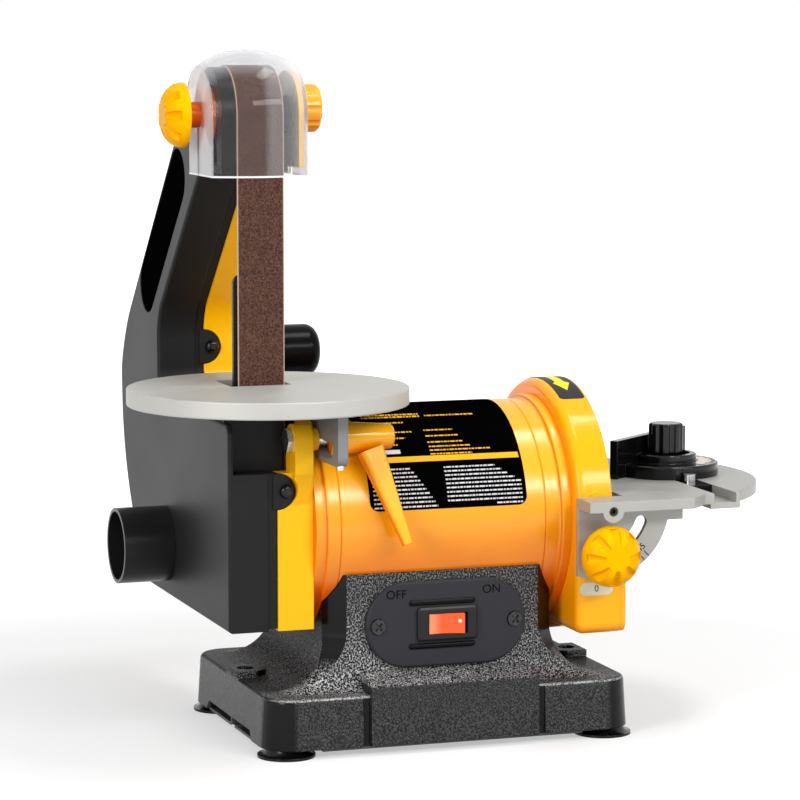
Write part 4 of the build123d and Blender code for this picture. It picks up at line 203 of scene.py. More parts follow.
def relief(tree, shader, height, depth, edge=0.0):
    """Raise a surface by a field, over edges that are softened by a small radius."""
    node = tree.nodes.new("ShaderNodeBump")
    node.inputs["Distance"].default_value = depth
    tree.links.new(height, node.inputs["Height"])
    if edge:
        bevel = tree.nodes.new("ShaderNodeBevel")
        bevel.samples = 4
        bevel.inputs["Radius"].default_value = edge
        tree.links.new(bevel.outputs["Normal"], node.inputs["Normal"])
    tree.links.new(node.outputs["Normal"], shader.inputs["Normal"])


# Materials
def plain_finish(name, tones, grain, rough, bump, metallic=0.0, edge=0.0, specular=0.5):
    """A finish whose colour and gloss wander a little, over a fine relief of (grain, depth)."""
    material, tree, shader = new_material(name)
    field = noise(tree, grain, 3.0)
    feed(tree, shader.inputs["Base Color"], mix(tree, field, *tones))
    feed(tree, shader.inputs["Roughness"], spread(tree, field, (0.3, 0.7), rough))
    shader.inputs["Metallic"].default_value = metallic
    shader.inputs["Specular IOR Level"].default_value = specular
    relief(tree, shader, noise(tree, bump[0]), bump[1], edge)
    return material


def banded_finish(name, first, second, axis, span, rough, specular):
    """A moulded finish that passes from one tone and gloss to another along an axis of the machine."""
    material, tree, shader = new_material(name)
    field = spread(tree, noise(tree, 20 * MM), (0.3, 0.7), (0.0, 0.06))
    passing = spread(tree, parts_of(tree, place(tree))[axis], span, FULL)
    passing = sums(tree, "MAXIMUM", passing, field)
    feed(tree, shader.inputs["Base Color"], mix(tree, passing, first, second))
    feed(tree, shader.inputs["Roughness"], spread(tree, passing, FULL, rough))
    shader.inputs["Specular IOR Level"].default_value = specular
    relief(tree, shader, noise(tree, 0.5 * MM), 0.006 * MM, 0.5 * MM)
    return material


def orange_finish(name, lit, shaded, rough, specular, way=LIT_WAY):
    """Gloss orange with painted light and shade: yellow on faces that look up and forward to the lamps,
    deeper orange on the others as painted shade, over a faint orange peel.
    """
    material, tree, shader = new_material(name)
    drift = mix(tree, spread(tree, noise(tree, 40 * MM), (0.3, 0.7), (0.0, 0.25)), shaded, lit)
    tone = mix(tree, facing(tree, way, LIT_SPAN), drift, lit)
    feed(tree, shader.inputs["Base Color"], tone)
    feed(tree, shader.inputs["Roughness"], spread(tree, noise(tree, 18 * MM), (0.3, 0.7), rough))
    shader.inputs["Specular IOR Level"].default_value = specular
    relief(tree, shader, noise(tree, 1.6 * MM, 1.0), 0.02 * MM, 0.7 * MM)
    return material


# Wrinkle paint of the base
WRINKLE_GRAIN = 0.85 * MM
WRINKLE_DEPTH = 0.6 * MM
WRINKLE_EDGE = 1.2 * MM
MASK_SOFT = 0.2 * MM
TOP_EDGE = (BASE_TOP - 0.4 * MM, BASE_TOP + 0.2 * MM)
EDGE_GLINT_BAND = (BASE_TOP - 1.5 * MM, BASE_TOP - 0.9 * MM)
GROOVE_END = PANEL_HALF + GROOVE_WIDTH
PEDESTAL_FRONT = (-48 * MM, -55 * MM)
# Painted glints on the folds' crests: the heights they fade over on the pedestal's front, and the size of
# their patches
GLINT_HEIGHTS = (BASE_TOP + 6 * MM, BASE_TOP + 50 * MM)
GLINT_PATCH = 9 * MM


def base_places(tree, at):
    """Fields of the base: over its upper edge, under it, on the front panel, on a smooth corner, and in the
    groove where shade is painted.
    """
    across = sums(tree, "ABSOLUTE", at["X"])
    panel = spread(tree, across, (PANEL_HALF, PANEL_HALF + MASK_SOFT), (1.0, 0.0))
    height = sums(tree, "MULTIPLY_ADD", panel, BASE_TOP - PANEL_TOP, at["Z"])
    above = spread(tree, height, TOP_EDGE, FULL)
    below = sums(tree, "SUBTRACT", 1.0, above)
    turn = parts_of(tree, tree.nodes.new("ShaderNodeTexCoord").outputs["Normal"])
    sideways = sums(tree, "ABSOLUTE", product(tree, turn["X"], turn["Y"]))
    low_corner = product(tree, spread(tree, sideways, (0.1, 0.24), FULL), below)
    high_corner = product(tree, spread(tree, sideways, (0.28, 0.4), FULL), above)
    grooved = spread(tree, across, (GROOVE_END, GROOVE_END - MASK_SOFT), FULL)
    grooved = sums(tree, "SUBTRACT", grooved, panel)
    groove = product(tree, grooved, below, facing(tree, FRONT_WAY, (0.3, 0.6)))
    smooth = sums(tree, "MAXIMUM", groove, sums(tree, "MAXIMUM", low_corner, high_corner))
    return above, below, panel, smooth


def glinting(tree, at, above):
    """How bright the painted glints on the folds' crests are: most at the foot of the pedestal's front, and
    on its left.
    """
    front = product(tree, above, spread(tree, at["Y"], PEDESTAL_FRONT, FULL))
    glint = product(tree, spread(tree, at["Z"], GLINT_HEIGHTS, (1.0, 0.12)), front)
    leaning = spread(tree, at["X"], (-PANEL_HALF, PANEL_HALF), (1.0, 0.55))
    patches = spread(tree, noise(tree, GLINT_PATCH), (0.35, 0.65), (0.6, 1.0))
    return product(tree, glint, leaning, patches)


def wrinkle_finish():
    """Black wrinkle paint: fine folds with painted glints on the pedestal's front and a painted highlight on
    the base's top edge; smooth on corners, with painted shade in the groove by the front panel.
    """
    material, tree, shader = new_material("wrinkle_black")
    folds = noise(tree, WRINKLE_GRAIN, 1.0, (1.0, 1.0, 0.8))
    at = parts_of(tree, place(tree))
    above, below, panel, smooth = base_places(tree, at)
    flat = sums(tree, "SUBTRACT", 1.0, smooth)

    # Crest tones of the folds: the lower base's are its own texture; above the base's top the lighter crests
    # are a painted sheen, and the pedestal's bright ones are painted glints
    dull = mix(tree, spread(tree, folds, (0.42, 0.6), FULL), *greys(22, 44))
    upper = mix(tree, spread(tree, folds, (0.48, 0.66), FULL), *greys(14, 96))
    sparkling = mix(tree, spread(tree, folds, (0.47, 0.62), FULL), *greys(16, 204))
    tone = mix(tree, glinting(tree, at, above), mix(tree, above, dull, upper), sparkling)
    # Plain black on smooth corners; in the groove by the front panel the black is painted shade
    tone = mix(tree, smooth, tone, srgb(6, 6, 7))
    # A painted highlight along the base's top front edge, broken by the folds
    edge = product(tree, spread(tree, at["Z"], EDGE_GLINT_BAND, FULL), sums(tree, "SUBTRACT", below, panel))
    crests = spread(tree, folds, (0.36, 0.56), (0.15, 0.9))
    edge_glint = product(tree, edge, facing(tree, FRONT_WAY, (0.2, 0.8)), crests)
    feed(tree, shader.inputs["Base Color"], mix(tree, edge_glint, tone, srgb(206, 206, 208)))
    feed(tree, shader.inputs["Roughness"], spread(tree, smooth, FULL, (0.24, 0.14)))

    # Tops and the left flank are seen along their surface, where gloss would mirror the white room
    shade = spread(tree, facing(tree, TOP_WAY, (0.3, 0.75)), FULL, (1.0, 0.06))
    flank = product(tree, facing(tree, LEFT_WAY, (0.3, 0.75)), above)
    shade = product(tree, shade, spread(tree, flank, FULL, (1.0, 0.1)))
    gloss = product(tree, spread(tree, folds, (0.4, 0.62), (0.22, 0.5)), product(tree, flat, shade))
    feed(tree, shader.inputs["Specular IOR Level"], sums(tree, "MULTIPLY_ADD", smooth, 0.2, gloss))
    relief(tree, shader, product(tree, folds, flat), WRINKLE_DEPTH, WRINKLE_EDGE)
    return material


# Abrasive cloth
GRIT_GRAIN = 0.9 * MM
GRIT_DEPTH = 0.1 * MM
SPARK_GRAIN = 0.6 * MM
BELT_WEAR = (0.7 * MM, 0.2 * MM)


def grit_finish(name, dark, body, pale, edges=None):
    """Abrasive cloth: packed grains in three tones, with pale edges from wear where it is a belt."""
    material, tree, shader = new_material(name)
    grains = spread(tree, noise(tree, GRIT_GRAIN, 3.0), (0.36, 0.64), FULL)
    tone = mix(tree, grains, dark, body)
    sparks = spread(tree, noise(tree, SPARK_GRAIN, 1.0), (0.64, 0.78), (0.0, 0.8))
    tone = mix(tree, sparks, tone, pale)
    if edges:
        middle, half = edges
        offset = sums(tree, "SUBTRACT", parts_of(tree, place(tree))["X"], middle)
        across = sums(tree, "ABSOLUTE", offset)
        rim = spread(tree, across, (half - BELT_WEAR[0], half - BELT_WEAR[1]), (0.0, 0.8))
        tone = mix(tree, rim, tone, srgb(214, 186, 160))
    feed(tree, shader.inputs["Base Color"], tone)
    feed(tree, shader.inputs["Roughness"], spread(tree, grains, FULL, (0.72, 0.92)))
    shader.inputs["Specular IOR Level"].default_value = 0.15
    relief(tree, shader, grains, GRIT_DEPTH)
    return material


# Clear hood
HOOD_LIP = (HOOD_FOOT + 1.1 * MM, HOOD_FOOT + 0.7 * MM)
HOOD_HAZE = (BELT_X, BELT_X + 4 * MM)
HOOD_IOR = 1.15


def clear_finish():
    """Clear moulded guard, faintly milky, paler at its lip and, as a painted sheen, where seen at a slant; it
    lets lamps through.
    """
    material, tree, shader = new_material("clear_plastic")
    haze = noise(tree, 14 * MM)
    feed(tree, shader.inputs["Roughness"], spread(tree, haze, (0.3, 0.7), (0.0, 0.02)))
    feed(tree, shader.inputs["Base Color"], mix(tree, haze, srgb(246, 246, 247), srgb(238, 238, 241)))
    rim = tree.nodes.new("ShaderNodeLayerWeight")
    rim.inputs["Blend"].default_value = 0.35
    at = parts_of(tree, place(tree))
    # Painted sheen: less clear where the guard is seen at a slant
    clarity = spread(tree, rim.outputs["Facing"], (0.12, 0.7), (0.985, 0.5))
    hazy = spread(tree, at["X"], HOOD_HAZE, (1.0, 0.93))
    lip = spread(tree, at["Z"], HOOD_LIP, (1.0, 0.2))
    feed(tree, shader.inputs["Transmission Weight"], product(tree, clarity, hazy, lip))
    shader.inputs["IOR"].default_value = HOOD_IOR
    passing = tree.nodes.new("ShaderNodeBsdfTransparent")
    passing.inputs["Color"].default_value = srgb(246, 246, 247)
    rays = tree.nodes.new("ShaderNodeLightPath")
    chooser = tree.nodes.new("ShaderNodeMixShader")
    lighting = sums(tree, "MAXIMUM", rays.outputs["Is Shadow Ray"], rays.outputs["Is Diffuse Ray"])
    tree.links.new(lighting, chooser.inputs["Fac"])
    tree.links.new(shader.outputs["BSDF"], chooser.inputs[1])
    tree.links.new(passing.outputs["BSDF"], chooser.inputs[2])
    tree.links.new(chooser.outputs["Shader"], tree.nodes["Material Output"].inputs["Surface"])
    return material


# Orange paints: a lit tone for faces towards the lamps, and a deeper tone as painted shade for the others
guard_paint = orange_finish("guard_paint", srgb(251, 180, 0), srgb(255, 150, 8), (0.12, 0.17), 0.25)
frame_paint = orange_finish("frame_paint", srgb(251, 190, 10), srgb(255, 182, 8), (0.24, 0.32), 0.2)
# The bracket's faces away from the lamps are painted dark olive, a painted shade
head_paint = orange_finish("head_paint", srgb(252, 186, 6), srgb(112, 84, 38), (0.24, 0.32), 0.2)
motor_paint = orange_finish(
    "motor_paint", srgb(251, 180, 8), srgb(226, 82, 4), (0.18, 0.24), 0.5, MOTOR_LIT_WAY
)
yellow = orange_finish("yellow_plastic", srgb(252, 186, 0), srgb(252, 172, 0), (0.22, 0.30), 0.03)
orange = orange_finish("orange_plastic", srgb(252, 182, 4), srgb(246, 128, 2), (0.13, 0.19), 0.4)
deep_orange = orange_finish("stem_plastic", srgb(228, 98, 8), srgb(192, 62, 4), (0.24, 0.32), 0.2)
wrinkle = wrinkle_finish()
cover = plain_finish(
    "cover_plastic", greys(27, 31), 60 * MM, (0.42, 0.46), (0.5 * MM, 0.006 * MM),
    edge=0.8 * MM, specular=0.14,
)
pipe = plain_finish(
    "pipe_plastic", greys(22, 28), 40 * MM, (0.28, 0.32), (0.8 * MM, 0.004 * MM),
    edge=0.5 * MM, specular=0.25,
)
grip_black = plain_finish(
    "grip_plastic", greys(8, 12), 30 * MM, (0.18, 0.22), (0.8 * MM, 0.004 * MM),
    edge=0.5 * MM, specular=0.06,
)
gloss_black = plain_finish(
    "gloss_black", greys(8, 14), 30 * MM, (0.10, 0.14), (1.2 * MM, 0.006 * MM),
    edge=0.6 * MM, specular=0.3,
)
plate_black = banded_finish(
    "switch_plate_black", srgb(52, 51, 56), srgb(9, 9, 10), "Y", SWITCH_RIBS, (0.48, 0.2), 0.1
)
housing_black = plain_finish(
    "switch_housing_black", greys(30, 36), 20 * MM, (0.28, 0.34), (0.8 * MM, 0.004 * MM),
    edge=0.5 * MM, specular=0.2,
)
rubber = plain_finish(
    "foot_rubber", greys(8, 14), 20 * MM, (0.16, 0.26), (0.9 * MM, 0.008 * MM),
    edge=0.6 * MM, specular=0.25,
)
cast_table = plain_finish(
    "cast_table", (srgb(176, 175, 170), srgb(194, 193, 187)), 26 * MM, (0.44, 0.56),
    (0.5 * MM, 0.02 * MM), metallic=0.25, edge=0.6 * MM,
)
disc_table_metal = plain_finish(
    "disc_table_metal", (srgb(160, 159, 154), srgb(176, 175, 170)), 20 * MM, (0.40, 0.52),
    (0.45 * MM, 0.02 * MM), metallic=0.35, edge=0.6 * MM,
)
# The trunnion is darker than the tables' metal, a painted shade from the table above it
trunnion_metal = plain_finish(
    "trunnion_metal", (srgb(116, 118, 123), srgb(132, 134, 138)), 20 * MM, (0.40, 0.50),
    (0.45 * MM, 0.02 * MM), metallic=0.3, edge=0.6 * MM,
)
steel = plain_finish(
    "bright_steel", greys(186, 216), 6 * MM, (0.18, 0.30), (0.4 * MM, 0.006 * MM),
    metallic=1.0, edge=0.2 * MM,
)
dark_steel = plain_finish(
    "dark_steel", greys(34, 84), 1.6 * MM, (0.16, 0.28), (1.8 * MM, 0.25 * MM),
    metallic=1.0, edge=0.3 * MM,
)
iron = plain_finish(
    "dark_iron", greys(70, 92), 9 * MM, (0.42, 0.58), (0.5 * MM, 0.03 * MM), metallic=0.8
)
black_steel = plain_finish(
    "black_steel", greys(8, 14), 16 * MM, (0.24, 0.34), (0.6 * MM, 0.008 * MM),
    edge=0.4 * MM, specular=0.12,
)
alloy = plain_finish(
    "wheel_alloy", greys(150, 176), 8 * MM, (0.28, 0.44), (0.5 * MM, 0.02 * MM), metallic=0.9
)
rocker_red = banded_finish(
    "rocker_red", srgb(248, 92, 38), srgb(255, 146, 104), "X", ROCKER_FADE, (0.22, 0.26), 0.3
)
belt_grit = grit_finish(
    "belt_grit", srgb(50, 32, 26), srgb(102, 70, 58), srgb(152, 122, 106), (BELT_X, BELT_HALF)
)
disc_grit = grit_finish("disc_grit", srgb(62, 44, 38), srgb(92, 68, 58), srgb(140, 112, 98))
clear = clear_finish()

finishes = {
    guard_paint: ("disc_guard", "disc_lower_cover"),
    frame_paint: ("belt_frame",),
    head_paint: ("head_bracket",),
    motor_paint: ("motor_shell", "motor_left_bell", "motor_right_bell"),
    wrinkle: ("base_casting",),
    cover: ("belt_cover",),
    pipe: ("dust_port",),
    grip_black: ("tension_grip",),
    gloss_black: ("miter_bar", "miter_head", "miter_knob", "cover_screws"),
    plate_black: ("switch_plate",),
    housing_black: ("switch_housing",),
    rubber: ("rubber_feet",),
    cast_table: ("belt_table",),
    disc_table_metal: ("disc_table",),
    trunnion_metal: ("table_trunnion",),
    steel: (
        "motor_shaft", "disc_plate", "rear_axle", "top_wheel_axle", "tension_pin", "pointer_screw",
        "drive_wheel_nut", "rear_wheel_bearings", "top_wheel_bearings", "shaft_bearings",
        "trunnion_screws", "table_stop_screw", "foot_screws", "disc_lock_stud", "clamp_bolt",
        "platen_screws", "flange_screws",
    ),
    dark_steel: ("switch_plate_screws", "disc_pivot_screws"),
    iron: ("stator", "rotor_core", "capacitor", "bottom_plate"),
    black_steel: ("wheel_yoke", "head_bracket_screws", "tension_arm", "platen"),
    alloy: ("drive_wheel", "top_wheel", "rear_wheel"),
    rocker_red: ("rocker",),
    belt_grit: ("sanding_belt",),
    disc_grit: ("abrasive_disc",),
    clear: ("clear_hood",),
    yellow: ("star_knob", "disc_lock_knob"),
    orange: ("clamp_lever", "tracking_knob"),
    deep_orange: ("knob_stem",),
}
for finish_material, names in finishes.items():
    for node_name in names:
        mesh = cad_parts[node_name].data
        mesh.materials.clear()
        mesh.materials.append(finish_material)


# Mesh helpers
def rounded_outline(width, height, radius, steps=6):
    """Points of a rounded rectangle about the origin, in (u, v)."""
    points = []
    for across, up, start in ((1, 1, 0), (-1, 1, 90), (-1, -1, 180), (1, -1, 270)):
        for i in range(steps + 1):
            angle = math.radians(start + 90 * i / steps)
            u = across * (width / 2 - radius) + radius * math.cos(angle)
            v = up * (height / 2 - radius) + radius * math.sin(angle)
            points.append((u, v))
    return points


def stadium_outline(first, second, radius, steps=16):
    """Points of a long plate with round ends about two points, in (u, v)."""
    points = []
    along = math.atan2(second[1] - first[1], second[0] - first[0])
    for end, start in ((second, along - math.pi / 2), (first, along + math.pi / 2)):
        for i in range(steps + 1):
            angle = start + math.pi * i / steps
            points.append((end[0] + radius * math.cos(angle), end[1] + radius * math.sin(angle)))
    return points


def ring_outline(radii, angles, steps):
    """Points of a sector between two radii and two angles, in (u, v)."""
    points = []
    for radius, order in ((radii[1], range(steps + 1)), (radii[0], range(steps, -1, -1))):
        for i in order:
            angle = math.radians(angles[0] + (angles[1] - angles[0]) * i / steps)
            points.append((radius * math.cos(angle), radius * math.sin(angle)))
    return points


def moved_outline(points, u, v):
    """An outline moved in (u, v)."""
    return [(a + u, b + v) for a, b in points]


# Thin prints and sheets
PRINT_SINK = 0.02 * MM
PRINT_THICK = 0.05 * MM
LABEL_THICK = 0.2 * MM
SHARP_EDGE = 35.0


def flat_plate(outline, thickness, slices=0):
    """A thin plate over its outline in (u, v), cut into strips across v so that it can be bent."""
    bm = bmesh.new()
    bm.faces.new([bm.verts.new((u, v, PRINT_SINK)) for u, v in outline])
    low = min(v for u, v in outline)
    high = max(v for u, v in outline)
    for i in range(1, slices):
        cut = (0.0, low + (high - low) * i / slices, 0.0)
        parts = bm.verts[:] + bm.edges[:] + bm.faces[:]
        bmesh.ops.bisect_plane(bm, geom=parts, plane_co=cut, plane_no=(0.0, 1.0, 0.0))
    raised = bmesh.ops.extrude_face_region(bm, geom=bm.faces[:], use_keep_orig=True)
    tops = [part for part in raised["geom"] if isinstance(part, bmesh.types.BMVert)]
    bmesh.ops.translate(bm, verts=tops, vec=(0.0, 0.0, thickness))
    bmesh.ops.recalc_face_normals(bm, faces=bm.faces[:])
    return bm


def add_slab(bm, low, high):
    """Close a slab between two equal loops of corners."""
    back = [bm.verts.new(corner) for corner in low]
    fore = [bm.verts.new(corner) for corner in high]
    bm.faces.new(back)
    bm.faces.new(fore)
    for k in range(len(back)):
        after = (k + 1) % len(back)
        bm.faces.new((back[k], back[after], fore[after], fore[k]))


def add_tick(bm, end, outward, sideways, length, lift):
    """A thin printed mark that runs inward from its end and is raised by a small step."""
    start = end - outward * length
    corners = [start - sideways, start + sideways, end + sideways, end - sideways]
    add_slab(bm, corners, [corner + lift for corner in corners])


def on_drum(radius, degrees, u, v, w):
    """Place on a drum about the motor axis: u runs along X and v round the drum from an angle."""
    angle = math.radians(degrees) + v / radius
    reach = radius + w
    return Vector((u, -reach * math.cos(angle), AXIS_Z + reach * math.sin(angle)))


def bend_on_drum(bm, radius, degrees):
    """Bend a flat plate round a drum about the motor axis, from an angle on."""
    for vert in bm.verts:
        vert.co = on_drum(radius, degrees, *vert.co)
    return bm


def stand_facing_front(bm, x, y, z):
    """Stand a flat plate up so that it faces the operator."""
    for vert in bm.verts:
        u, v, w = vert.co
        vert.co = (x + u, y - w, z + v)
    return bm


def stand_facing_left(bm, x):
    """Stand a flat plate, drawn in (y, z), up so that it faces the belt's side."""
    for vert in bm.verts:
        u, v, w = vert.co
        vert.co = (x - w, u, v)
    bmesh.ops.recalc_face_normals(bm, faces=bm.faces[:])
    return bm


def lay_flat(bm, x, y, z):
    """Set a mesh down at a place as it lies."""
    for vert in bm.verts:
        vert.co = Vector((x, y, z)) + vert.co
    return bm


def add_piece(name, bm, body, material):
    """Make a piece of a mesh: it rides on a body and is smooth up to an edge angle."""
    for face in bm.faces:
        face.smooth = True
    for edge in bm.edges:
        edge.smooth = edge.calc_face_angle(math.pi) < math.radians(SHARP_EDGE)
    mesh = bpy.data.meshes.new(name)
    bm.to_mesh(mesh)
    bm.free()
    mesh.materials.append(material)
    piece = bpy.data.objects.new(name, mesh)
    bpy.context.scene.collection.objects.link(piece)
    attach(piece, body)


def add_words(name, words, size, place_at, body, turn=0.0):
    """Printed lettering, centred on a place, that stands up to face the operator."""
    curve = bpy.data.curves.new(name, "FONT")
    curve.body = words
    curve.size = size
    curve.extrude = PRINT_THICK
    curve.align_x = "CENTER"
    curve.align_y = "CENTER"
    curve.materials.append(ink)
    piece = bpy.data.objects.new(name, curve)
    bpy.context.scene.collection.objects.link(piece)
    piece.location = place_at
    piece.rotation_euler = (math.radians(90), math.radians(turn), 0.0)
    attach(piece, body)


# Printed materials for labels and marks
PRINT_GRAIN = (0.6 * MM, 0.004 * MM)
label_black = plain_finish("label_black", greys(2, 4), 10 * MM, (0.46, 0.54), PRINT_GRAIN, specular=0.0)
label_gold = plain_finish(
    "label_gold", (srgb(246, 178, 14), srgb(250, 190, 22)), 8 * MM, (0.36, 0.44), PRINT_GRAIN, specular=0.1
)
label_white = plain_finish("label_white", greys(206, 222), 6 * MM, (0.40, 0.48), PRINT_GRAIN, specular=0.1)
label_grey = plain_finish(
    "label_grey", (srgb(44, 42, 47), srgb(54, 52, 57)), 6 * MM, (0.38, 0.46), PRINT_GRAIN, specular=0.1
)
label_cream = plain_finish(
    "label_cream", (srgb(214, 214, 186), srgb(230, 230, 204)), 6 * MM, (0.34, 0.44), PRINT_GRAIN, specular=0.2
)
arrow_yellow = plain_finish(
    "arrow_yellow", (srgb(250, 226, 2), srgb(252, 236, 8)), 5 * MM, (0.36, 0.44), PRINT_GRAIN, specular=0.1
)
ink = plain_finish("ink", greys(5, 9), 3 * MM, (0.40, 0.50), PRINT_GRAIN, specular=0.03)
scale_metal = plain_finish(
    "scale_metal", (srgb(206, 176, 156), srgb(228, 224, 220)), 14 * MM, (0.20, 0.30), PRINT_GRAIN,
    metallic=0.9,
)
inlay_black = plain_finish(
    "inlay_black", greys(2, 5), 24 * MM, (0.30, 0.36), PRINT_GRAIN, edge=0.3 * MM, specular=0.0
)
lamp_white = plain_finish(
    "lamp_white", (srgb(255, 226, 206), srgb(255, 244, 232)), 3 * MM, (0.2, 0.3), PRINT_GRAIN
)

# Rating label on the motor: a bare black sheet with a gold bar and rows of blank strokes
LABEL_X = (-41.3 * MM, 47.0 * MM)
LABEL_ANGLES = (10.0, 97.0)
LABEL_CORNER = 5.0 * MM
LABEL_SLICES = 44
PRINT_R = MOTOR_R + LABEL_THICK
BAR_X = (-37.5 * MM, 45.6 * MM)
BAR_ANGLE = 36.7
BAR_HEIGHT = 3.4 * MM
STROKES = (1.5 * MM, 0.9 * MM, 2.6 * MM, 1.2 * MM, 2.0 * MM, 3.0 * MM, 1.0 * MM)
STROKE_GAP = 0.55 * MM

# Head rows of the gold print: left end, right end, angle on the drum, height, first stroke
HEAD_ROWS = (
    (-35 * MM, -2 * MM, 69.8, 1.6 * MM, 0),
    (-35 * MM, -2 * MM, 67.4, 1.6 * MM, 3),
    (1 * MM, 28.6 * MM, 67.7, 1.3 * MM, 1),
    (-35 * MM, -13 * MM, 62.0, 1.1 * MM, 2),
)

# Columns of rating rows: left end, first right end, its growth per row, first angle, pitch
RATING_COLUMNS = (
    (-36 * MM, -10.4 * MM, -4.8 * MM, 54.3, 4.3),
    (-3.5 * MM, 12.9 * MM, 1.9 * MM, 55.0, 4.2),
)
RATING_ROWS = 3
RATING_HEIGHT = 0.9 * MM
NOTE_LEFT = -3.5 * MM
NOTE_RIGHT = (20 * MM, 31 * MM, 20 * MM)
NOTE_TOP = 43.8
NOTE_PITCH = 2.3
NOTE_HEIGHT = 0.8 * MM
NOTE_STROKE = 3

# White print: a small badge, and two columns of rows under the bar
BADGE_X = (-29 * MM, -20 * MM)
BADGE_ANGLE = 41.4
BADGE_HEIGHT = 2.6 * MM
ROW_HEIGHT = 0.85 * MM
ROW_PITCH = 2.2
ROW_COUNT = 10
ROW_TOP = 31.4
COLUMN_LEFT = -39.0 * MM
COLUMN_LEFT_END = -16.5 * MM
COLUMN_LEFT_GROWTH = 1.45 * MM
COLUMN_RIGHT = 2.2 * MM
COLUMN_RIGHT_LAST = 29.9 * MM
COLUMN_RIGHT_END = 31 * MM
COLUMN_RIGHT_GROWTH = 3.4 * MM
GROWING_ROWS = 4


def motor_label():
    """The label's bare black sheet."""
    width = LABEL_X[1] - LABEL_X[0]
    length = MOTOR_R * math.radians(LABEL_ANGLES[1] - LABEL_ANGLES[0])
    middle = (LABEL_X[0] + LABEL_X[1]) / 2
    outline = moved_outline(rounded_outline(width, length, LABEL_CORNER), middle, length / 2)
    sheet = bend_on_drum(flat_plate(outline, LABEL_THICK, LABEL_SLICES), MOTOR_R, LABEL_ANGLES[0])
    add_piece("motor_label", sheet, "frame", label_black)


def add_stroke(bm, left, right, degrees, height):
    """One flat stroke printed on the motor label, centred on an angle."""
    corners = [(left, -height / 2), (right, -height / 2), (right, height / 2), (left, height / 2)]
    low = [on_drum(PRINT_R, degrees, u, v, PRINT_SINK) for u, v in corners]
    high = [on_drum(PRINT_R, degrees, u, v, PRINT_SINK + PRINT_THICK) for u, v in corners]
    add_slab(bm, low, high)


def add_row(bm, left, right, degrees, height, shift):
    """A row of strokes of changing length, which starts at one end and stops before the other."""
    count = shift
    while left < right:
        end = left + STROKES[count % len(STROKES)]
        add_stroke(bm, left, min(end, right), degrees, height)
        left = end + STROKE_GAP
        count += 1


def gold_print():
    """The label's gold bar and the rows above it."""
    bm = bmesh.new()
    add_stroke(bm, *BAR_X, BAR_ANGLE, BAR_HEIGHT)
    for row in HEAD_ROWS:
        add_row(bm, *row)
    for i in range(RATING_ROWS):
        for k, (left, right, growth, top, pitch) in enumerate(RATING_COLUMNS):
            add_row(bm, left, right + growth * i, top - pitch * i, RATING_HEIGHT, i + k)
    for i, right in enumerate(NOTE_RIGHT):
        add_row(bm, NOTE_LEFT, right, NOTE_TOP - NOTE_PITCH * i, NOTE_HEIGHT, i + NOTE_STROKE)
    bmesh.ops.recalc_face_normals(bm, faces=bm.faces[:])
    add_piece("motor_label_gold_print", bm, "frame", label_gold)


def white_print():
    """The label's white badge and its two columns of rows."""
    bm = bmesh.new()
    add_stroke(bm, *BADGE_X, BADGE_ANGLE, BADGE_HEIGHT)
    for i in range(ROW_COUNT):
        degrees = ROW_TOP - ROW_PITCH * i
        add_row(bm, COLUMN_LEFT, COLUMN_LEFT_END + COLUMN_LEFT_GROWTH * i, degrees, ROW_HEIGHT, i)
        start = COLUMN_RIGHT if i < ROW_COUNT - 1 else COLUMN_RIGHT_LAST
        end = COLUMN_RIGHT_END + COLUMN_RIGHT_GROWTH * min(i, GROWING_ROWS)
        add_row(bm, start, end, degrees, ROW_HEIGHT, 2 * i + 1)
    bmesh.ops.recalc_face_normals(bm, faces=bm.faces[:])
    add_piece("motor_label_white_print", bm, "frame", label_white)


motor_label()
gold_print()
white_print()

# Bare dark plate let into the arm's side
INLAY_ENDS = ((46.64 * MM, 298.48 * MM), (113.35 * MM, 235.27 * MM))
INLAY_R = 15.5 * MM
INLAY_FLOOR = -115.6 * MM
INLAY_THICK = 0.7 * MM


def arm_inlay():
    """The dark plate, with round ends, on the arm's left side."""
    plate = flat_plate(stadium_outline(*INLAY_ENDS, INLAY_R), INLAY_THICK)
    add_piece("arm_inlay", stand_facing_left(plate, INLAY_FLOOR), "frame", inlay_black)


arm_inlay()

# Turning arrow on the guard
ARROW_X = 83.1 * MM
ARROW_SHEET = (14.6 * MM, 60.0 * MM)
ARROW_SHEET_CORNER = 2.2 * MM
ARROW_SHEET_ANGLE = 62.3
ARROW_SHEET_SLICES = 30
ARROW_SLICES = 20
ARROW_TIP_ANGLE = 69.5
ARROW_HEAD = (9.6 * MM, 10.2 * MM)
ARROW_BARB = 2.6 * MM
ARROW_SHAFT = (5.4 * MM, 24.0 * MM)


def arrow_label():
    """A dark sheet bent over the guard, with the disc's turning arrow on it."""
    outline = moved_outline(rounded_outline(*ARROW_SHEET, ARROW_SHEET_CORNER), ARROW_X, ARROW_SHEET[1] / 2)
    sheet = bend_on_drum(flat_plate(outline, LABEL_THICK, ARROW_SHEET_SLICES), GUARD_R, ARROW_SHEET_ANGLE)
    add_piece("arrow_label", sheet, "frame", label_grey)
    half_head = ARROW_HEAD[0] / 2
    half_shaft = ARROW_SHAFT[0] / 2
    neck = ARROW_HEAD[1] + ARROW_BARB
    points = [
        (0.0, 0.0),
        (half_head, ARROW_HEAD[1]),
        (half_shaft, neck),
        (half_shaft, neck + ARROW_SHAFT[1]),
        (-half_shaft, neck + ARROW_SHAFT[1]),
        (-half_shaft, neck),
        (-half_head, ARROW_HEAD[1]),
    ]
    arrow = flat_plate(moved_outline(points, ARROW_X, 0.0), PRINT_THICK, ARROW_SLICES)
    bend_on_drum(arrow, GUARD_R + LABEL_THICK, ARROW_TIP_ANGLE)
    add_piece("arrow_mark", arrow, "frame", arrow_yellow)


